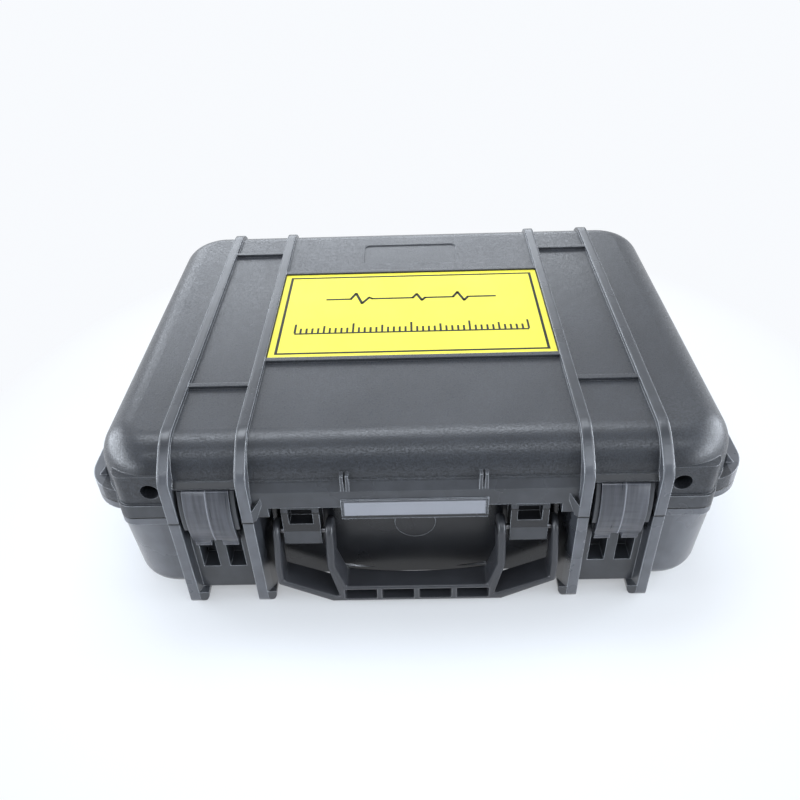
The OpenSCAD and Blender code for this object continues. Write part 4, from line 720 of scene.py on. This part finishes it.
class CASE_OT_plate(bpy.types.Operator):
    """Make the yellow plate with its lines, and the name strip"""
    bl_idname = "case.plate"
    bl_label = "Plate and strip"

    def execute(self, context):
        look = context.scene.plate_look
        echo_rise, echo_half, scale_drop, scale_half = 0.02, 0.067, 0.029, 0.088
        low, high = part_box("yellow_plate")
        bm = bmesh.new()
        rounded_box(bm, low, high, look.corner_radius, PLATE_EDGE)
        finish_piece("plate_face", bm, printed_film("plate_film", look.plate_colour, 0.5), "lid",
                     "yellow_plate")

        bm = bmesh.new()
        top = high.z - INK_THICK / 4
        middle = (low + high) / 2
        inset = Vector((look.line_inset, look.line_inset, 0))
        outline(bm, low + inset, high - inset, look.line_width, top)
        self.echo(bm, middle.x, middle.y + echo_rise, echo_half, top)
        self.scale(bm, middle.x, middle.y - scale_drop, scale_half, top)
        finish_piece("plate_lines", bm, printed_film("plate_ink", look.ink_colour, 0.5, 0.1), "lid")

        low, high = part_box("name_strip")
        bm = bmesh.new()
        rounded_box(bm, (low.x, low.z, -high.y), (high.x, high.z, -low.y), STRIP_CORNER, STRIP_EDGE)
        upright = Matrix.Rotation(math.radians(90), 4, "X")
        bmesh.ops.transform(bm, matrix=upright, verts=bm.verts)
        finish_piece("strip_film", bm, printed_film("strip_film", look.strip_colour, 0.35), "lid",
                     "name_strip")
        return {"FINISHED"}

    def echo(self, bm, x, y, half, top):
        """A line with three pulses, whose strokes lap at each bend."""
        width, lap = 0.0022, 0.0008
        points = [Vector((x + share * half, y + height)) for share, height in ECHO_POINTS]
        for a, b in zip(points, points[1:]):
            past = (b - a).normalized() * lap
            stroke(bm, a - past, b + past, width, top)

    def scale(self, bm, x, y, half, top):
        """A ruled line at the height y on the plate, with short and long marks over it."""
        line, mark, marks = 0.0018, 0.0016, 41
        short, middling, tall = 0.0065, 0.0095, 0.0125
        stroke(bm, (x - half, y - line / 2), (x + half, y - line / 2), line, top)
        for i in range(marks):
            at = x - half + 2 * half * i / (marks - 1)
            height = tall if i % 10 == 0 else middling if i % 5 == 0 else short
            stroke(bm, (at, y), (at, y + height), mark, top)


class CASE_OT_foam(bpy.types.Operator):
    """Finish the foam"""
    bl_idname = "case.foam"
    bl_label = "Foam"

    def execute(self, context):
        look = context.scene.kit_look
        foam = cut_foam(look.foam_colour)
        for node, body in (("base_foam", "base"), ("lid_foam", "lid")):
            piece = softened(node, node + "_cut", foam, body, look.foam_edge)
        return {"FINISHED"}


class CASE_OT_instrument(bpy.types.Operator):
    """Finish the instrument and its probes"""
    bl_idname = "case.instrument"
    bl_label = "Instrument and probes"

    def execute(self, context):
        look = context.scene.kit_look
        mouldings = (
            ("front_moulding", look.housing_colour, 0.0008, 0.45, ("instrument_front",)),
            ("back_moulding", look.back_colour, 0.0008, 0.45, ("instrument_back", "battery_door")),
            ("power_key_moulding", look.power_colour, 0.0008, 0.5, KEYS[:1]),
            ("key_moulding", look.key_colour, 0.0008, 0.5, KEYS[1:]),
            ("wear_face", (0.26, 0.19, 0.12), 0.0003, 0.35, ("straight_probe_face",)),
            ("cast_wedge", (0.45, 0.24, 0.08), 0.0005, 0.2, ("angle_probe_wedge",)),
            ("probe_moulding", (0.03, 0.03, 0.03), 0.0005, 0.4, ("angle_probe_body",)),
            ("battery_sleeve", (0.025, 0.03, 0.06), 0.0005, 0.35, ("battery_pack",)),
            ("solder_mask", (0.02, 0.12, 0.05), 0.0002, 0.3, ("main_board",)),
            ("dark_screen", (0.012, 0.017, 0.02), 0.0002, 0.15, ("lcd_module",)),
        )
        for name, colour, edge, roughness, nodes in mouldings:
            coat(smooth_moulding(name, colour, edge, roughness), *nodes)
        coat(soft_rubber("bumper_rubber", (0.022, 0.023, 0.025)),
             "instrument_bumpers", "instrument_seal", "rotary_knob", "key_mat")
        coat(plain_metal("plated_metal", (0.6, 0.59, 0.56), 0.25), "probe_sockets", "knob_encoder")
        coat(plain_metal("ground_metal", (0.5, 0.5, 0.52), 0.35), "straight_probe_body")
        coat(plain_metal("turned_brass", (0.62, 0.46, 0.2), 0.28),
             "straight_probe_socket", "angle_probe_socket")
        coat(clear_glass("window_glass", (0.85, 0.9, 0.92)), "screen_window")
        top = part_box("instrument_front")[1].z
        self.print_window_frame(top)
        self.print_panel_lines(top)
        return {"FINISHED"}

    def print_window_frame(self, top):
        """A dark border round the window."""
        width = 0.0028
        low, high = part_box("screen_window")
        past = Vector((width, width, 0))
        bm = bmesh.new()
        outline(bm, low - past, high + past, width, top)
        finish_piece("window_frame", bm, printed_film("frame_ink", (0.012, 0.013, 0.015), 0.35), "base")

    def print_panel_lines(self, top):
        """A line round the keys, and marks round the knob."""
        key_gap, key_line = 0.004, 0.0006
        mark, marks, mark_start, short_end, long_end = 0.0008, 11, 0.0022, 0.0044, 0.0058
        first_angle, mark_turn = 240, 30
        boxes = [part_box(node) for node in KEYS]
        past = key_gap + key_line / 2
        low = Vector((min(box[0].x for box in boxes) - past, min(box[0].y for box in boxes) - past))
        high = Vector((max(box[1].x for box in boxes) + past, max(box[1].y for box in boxes) + past))
        bm = bmesh.new()
        outline(bm, low, high, key_line, top)
        low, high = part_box("rotary_knob")
        middle = (low.xy + high.xy) / 2
        radius = (high.x - low.x) / 2
        for i in range(marks):
            turn = math.radians(first_angle - mark_turn * i)
            ahead = Vector((math.cos(turn), math.sin(turn)))
            end = long_end if i % 5 == 0 else short_end
            stroke(bm, middle + ahead * (radius + mark_start), middle + ahead * (radius + end), mark, top)
        finish_piece("panel_lines", bm, printed_film("panel_ink", (0.62, 0.64, 0.66), 0.4), "base")


class CASE_OT_stage(bpy.types.Operator):
    """Set the floor, the lamps and the camera"""
    bl_idname = "case.stage"
    bl_label = "Stage"

    def execute(self, context):
        look = context.scene.stage_look
        scene = context.scene
        scene.view_settings.view_transform = "Standard"
        self.floor(look)
        self.daylight(scene)
        for lamp in LAMPS:
            self.lamp(*lamp)
        self.camera(scene, look)
        return {"FINISHED"}

    def floor(self, look):
        """A pale floor that glows to the camera and in gloss, and less so under the case."""
        bounce, shadow_start, shadow_end, shadow_glow = 1.38, 0.23, 0.42, 0.35
        gloss_start, gloss_end, gloss_glow = 0.2, 0.9, 0.85
        bm = bmesh.new()
        bmesh.ops.create_grid(bm, x_segments=1, y_segments=1, size=look.floor_size / 2)
        mesh = bpy.data.meshes.new("floor")
        bm.to_mesh(mesh)
        bm.free()
        f = Finish("floor_paint", look.floor_colour, 0.9, 0.1)
        path = f.add("LightPath").outputs
        f.colour(f.blend(path["Is Diffuse Ray"], look.floor_colour, brighter(look.floor_colour, bounce)))
        distance = f.add("VectorMath", operation="LENGTH")
        f.link(f.place(), distance.inputs[0])
        away = distance.outputs["Value"]
        seen = f.product(f.largest(path["Is Camera Ray"], path["Is Transmission Ray"]),
                         f.spread(away, shadow_start, shadow_end, shadow_glow, 1.0))
        mirrored = f.product(path["Is Glossy Ray"],
                             f.spread(away, gloss_start, gloss_end, gloss_glow, 1.0))
        glow = f.add("Emission")
        glow.inputs["Color"].default_value = (0.94, 0.96, 0.99, 1)
        f.cover(f.largest(seen, mirrored), glow)
        mesh.materials.append(f.material)
        floor = bpy.data.objects.new("floor", mesh)
        bpy.context.scene.collection.objects.link(floor)

    def daylight(self, scene):
        """A dim sky that gloss shows brighter, most of all at the back and the sides."""
        dim, front, back, front_light = 0.12, -0.7, 0.3, 0.3
        world = bpy.data.worlds.new("daylight")
        scene.world = world
        world.use_nodes = True
        n = Nodes(world.node_tree)
        sky = n.tree.nodes["Background"]
        sky.inputs["Color"].default_value = (0.93, 0.96, 1.0, 1)
        x, y = n.parts(n.add("TexCoord").outputs["Generated"])[:2]
        seen = n.largest(n.spread(y, front, back, front_light, 1.0), n.product(x, x))
        glossy = n.add("LightPath").outputs["Is Glossy Ray"]
        n.link(n.blend(glossy, dim, seen, "FLOAT"), sky.inputs["Strength"])

    def lamp(self, name, place, target, width, depth, power):
        light = bpy.data.lights.new(name, "AREA")
        light.shape = "RECTANGLE"
        light.size, light.size_y = width, depth
        light.energy = power
        light.color = LAMP_COLOUR
        lamp = bpy.data.objects.new(name, light)
        lamp.location = place
        aim = Vector(target) - Vector(place)
        lamp.rotation_euler = aim.to_track_quat("-Z", "Y").to_euler()
        bpy.context.scene.collection.objects.link(lamp)

    def camera(self, scene, look):
        data = bpy.data.cameras.new("camera")
        data.lens = look.camera_lens
        data.sensor_width = 36
        data.clip_start = 0.01
        cam = bpy.data.objects.new("camera", data)
        scene.collection.objects.link(cam)
        turn, pitch, roll = look.camera_yaw, look.camera_pitch, look.camera_roll
        ahead = Vector((-math.sin(turn) * math.cos(pitch), math.cos(turn) * math.cos(pitch),
                        -math.sin(pitch)))
        right = Vector((math.cos(turn), math.sin(turn), 0))
        up = right.cross(ahead)
        side = right * math.cos(roll) + up * math.sin(roll)
        top = up * math.cos(roll) - right * math.sin(roll)
        axes = Matrix((side, top, -ahead)).transposed().to_4x4()
        cam.matrix_world = Matrix.Translation(look.camera_place) @ axes
        scene.camera = cam


class CASE_PT_panel(bpy.types.Panel):
    """Lists the case's pieces"""
    bl_idname = "CASE_PT_panel"
    bl_label = "Case"
    bl_space_type = "VIEW_3D"
    bl_region_type = "UI"
    bl_category = "Case"

    def draw(self, context):
        for operator in OPERATORS:
            self.layout.operator(operator.bl_idname)
        for name in LOOKS:
            box = self.layout.box()
            look = getattr(context.scene, name)
            for key in look.__annotations__:
                box.prop(look, key)


LOOKS = {"case_finish": CaseFinish, "plate_look": PlateLook, "kit_look": KitLook, "stage_look": StageLook}
OPERATORS = (CASE_OT_shells, CASE_OT_latches, CASE_OT_plate, CASE_OT_foam, CASE_OT_instrument,
             CASE_OT_stage)


def register():
    for name, look in LOOKS.items():
        bpy.utils.register_class(look)
        setattr(bpy.types.Scene, name, bpy.props.PointerProperty(type=look))
    for operator in OPERATORS:
        bpy.utils.register_class(operator)
    bpy.utils.register_class(CASE_PT_panel)


def unregister():
    bpy.utils.unregister_class(CASE_PT_panel)
    for operator in reversed(OPERATORS):
        bpy.utils.unregister_class(operator)
    for name, look in LOOKS.items():
        delattr(bpy.types.Scene, name)
        bpy.utils.unregister_class(look)


def main():
    register()
    bpy.ops.case.shells()
    bpy.ops.case.latches()
    bpy.ops.case.plate()
    bpy.ops.case.foam()
    bpy.ops.case.instrument()
    bpy.ops.case.stage()


if __name__ == "__main__":
    main()
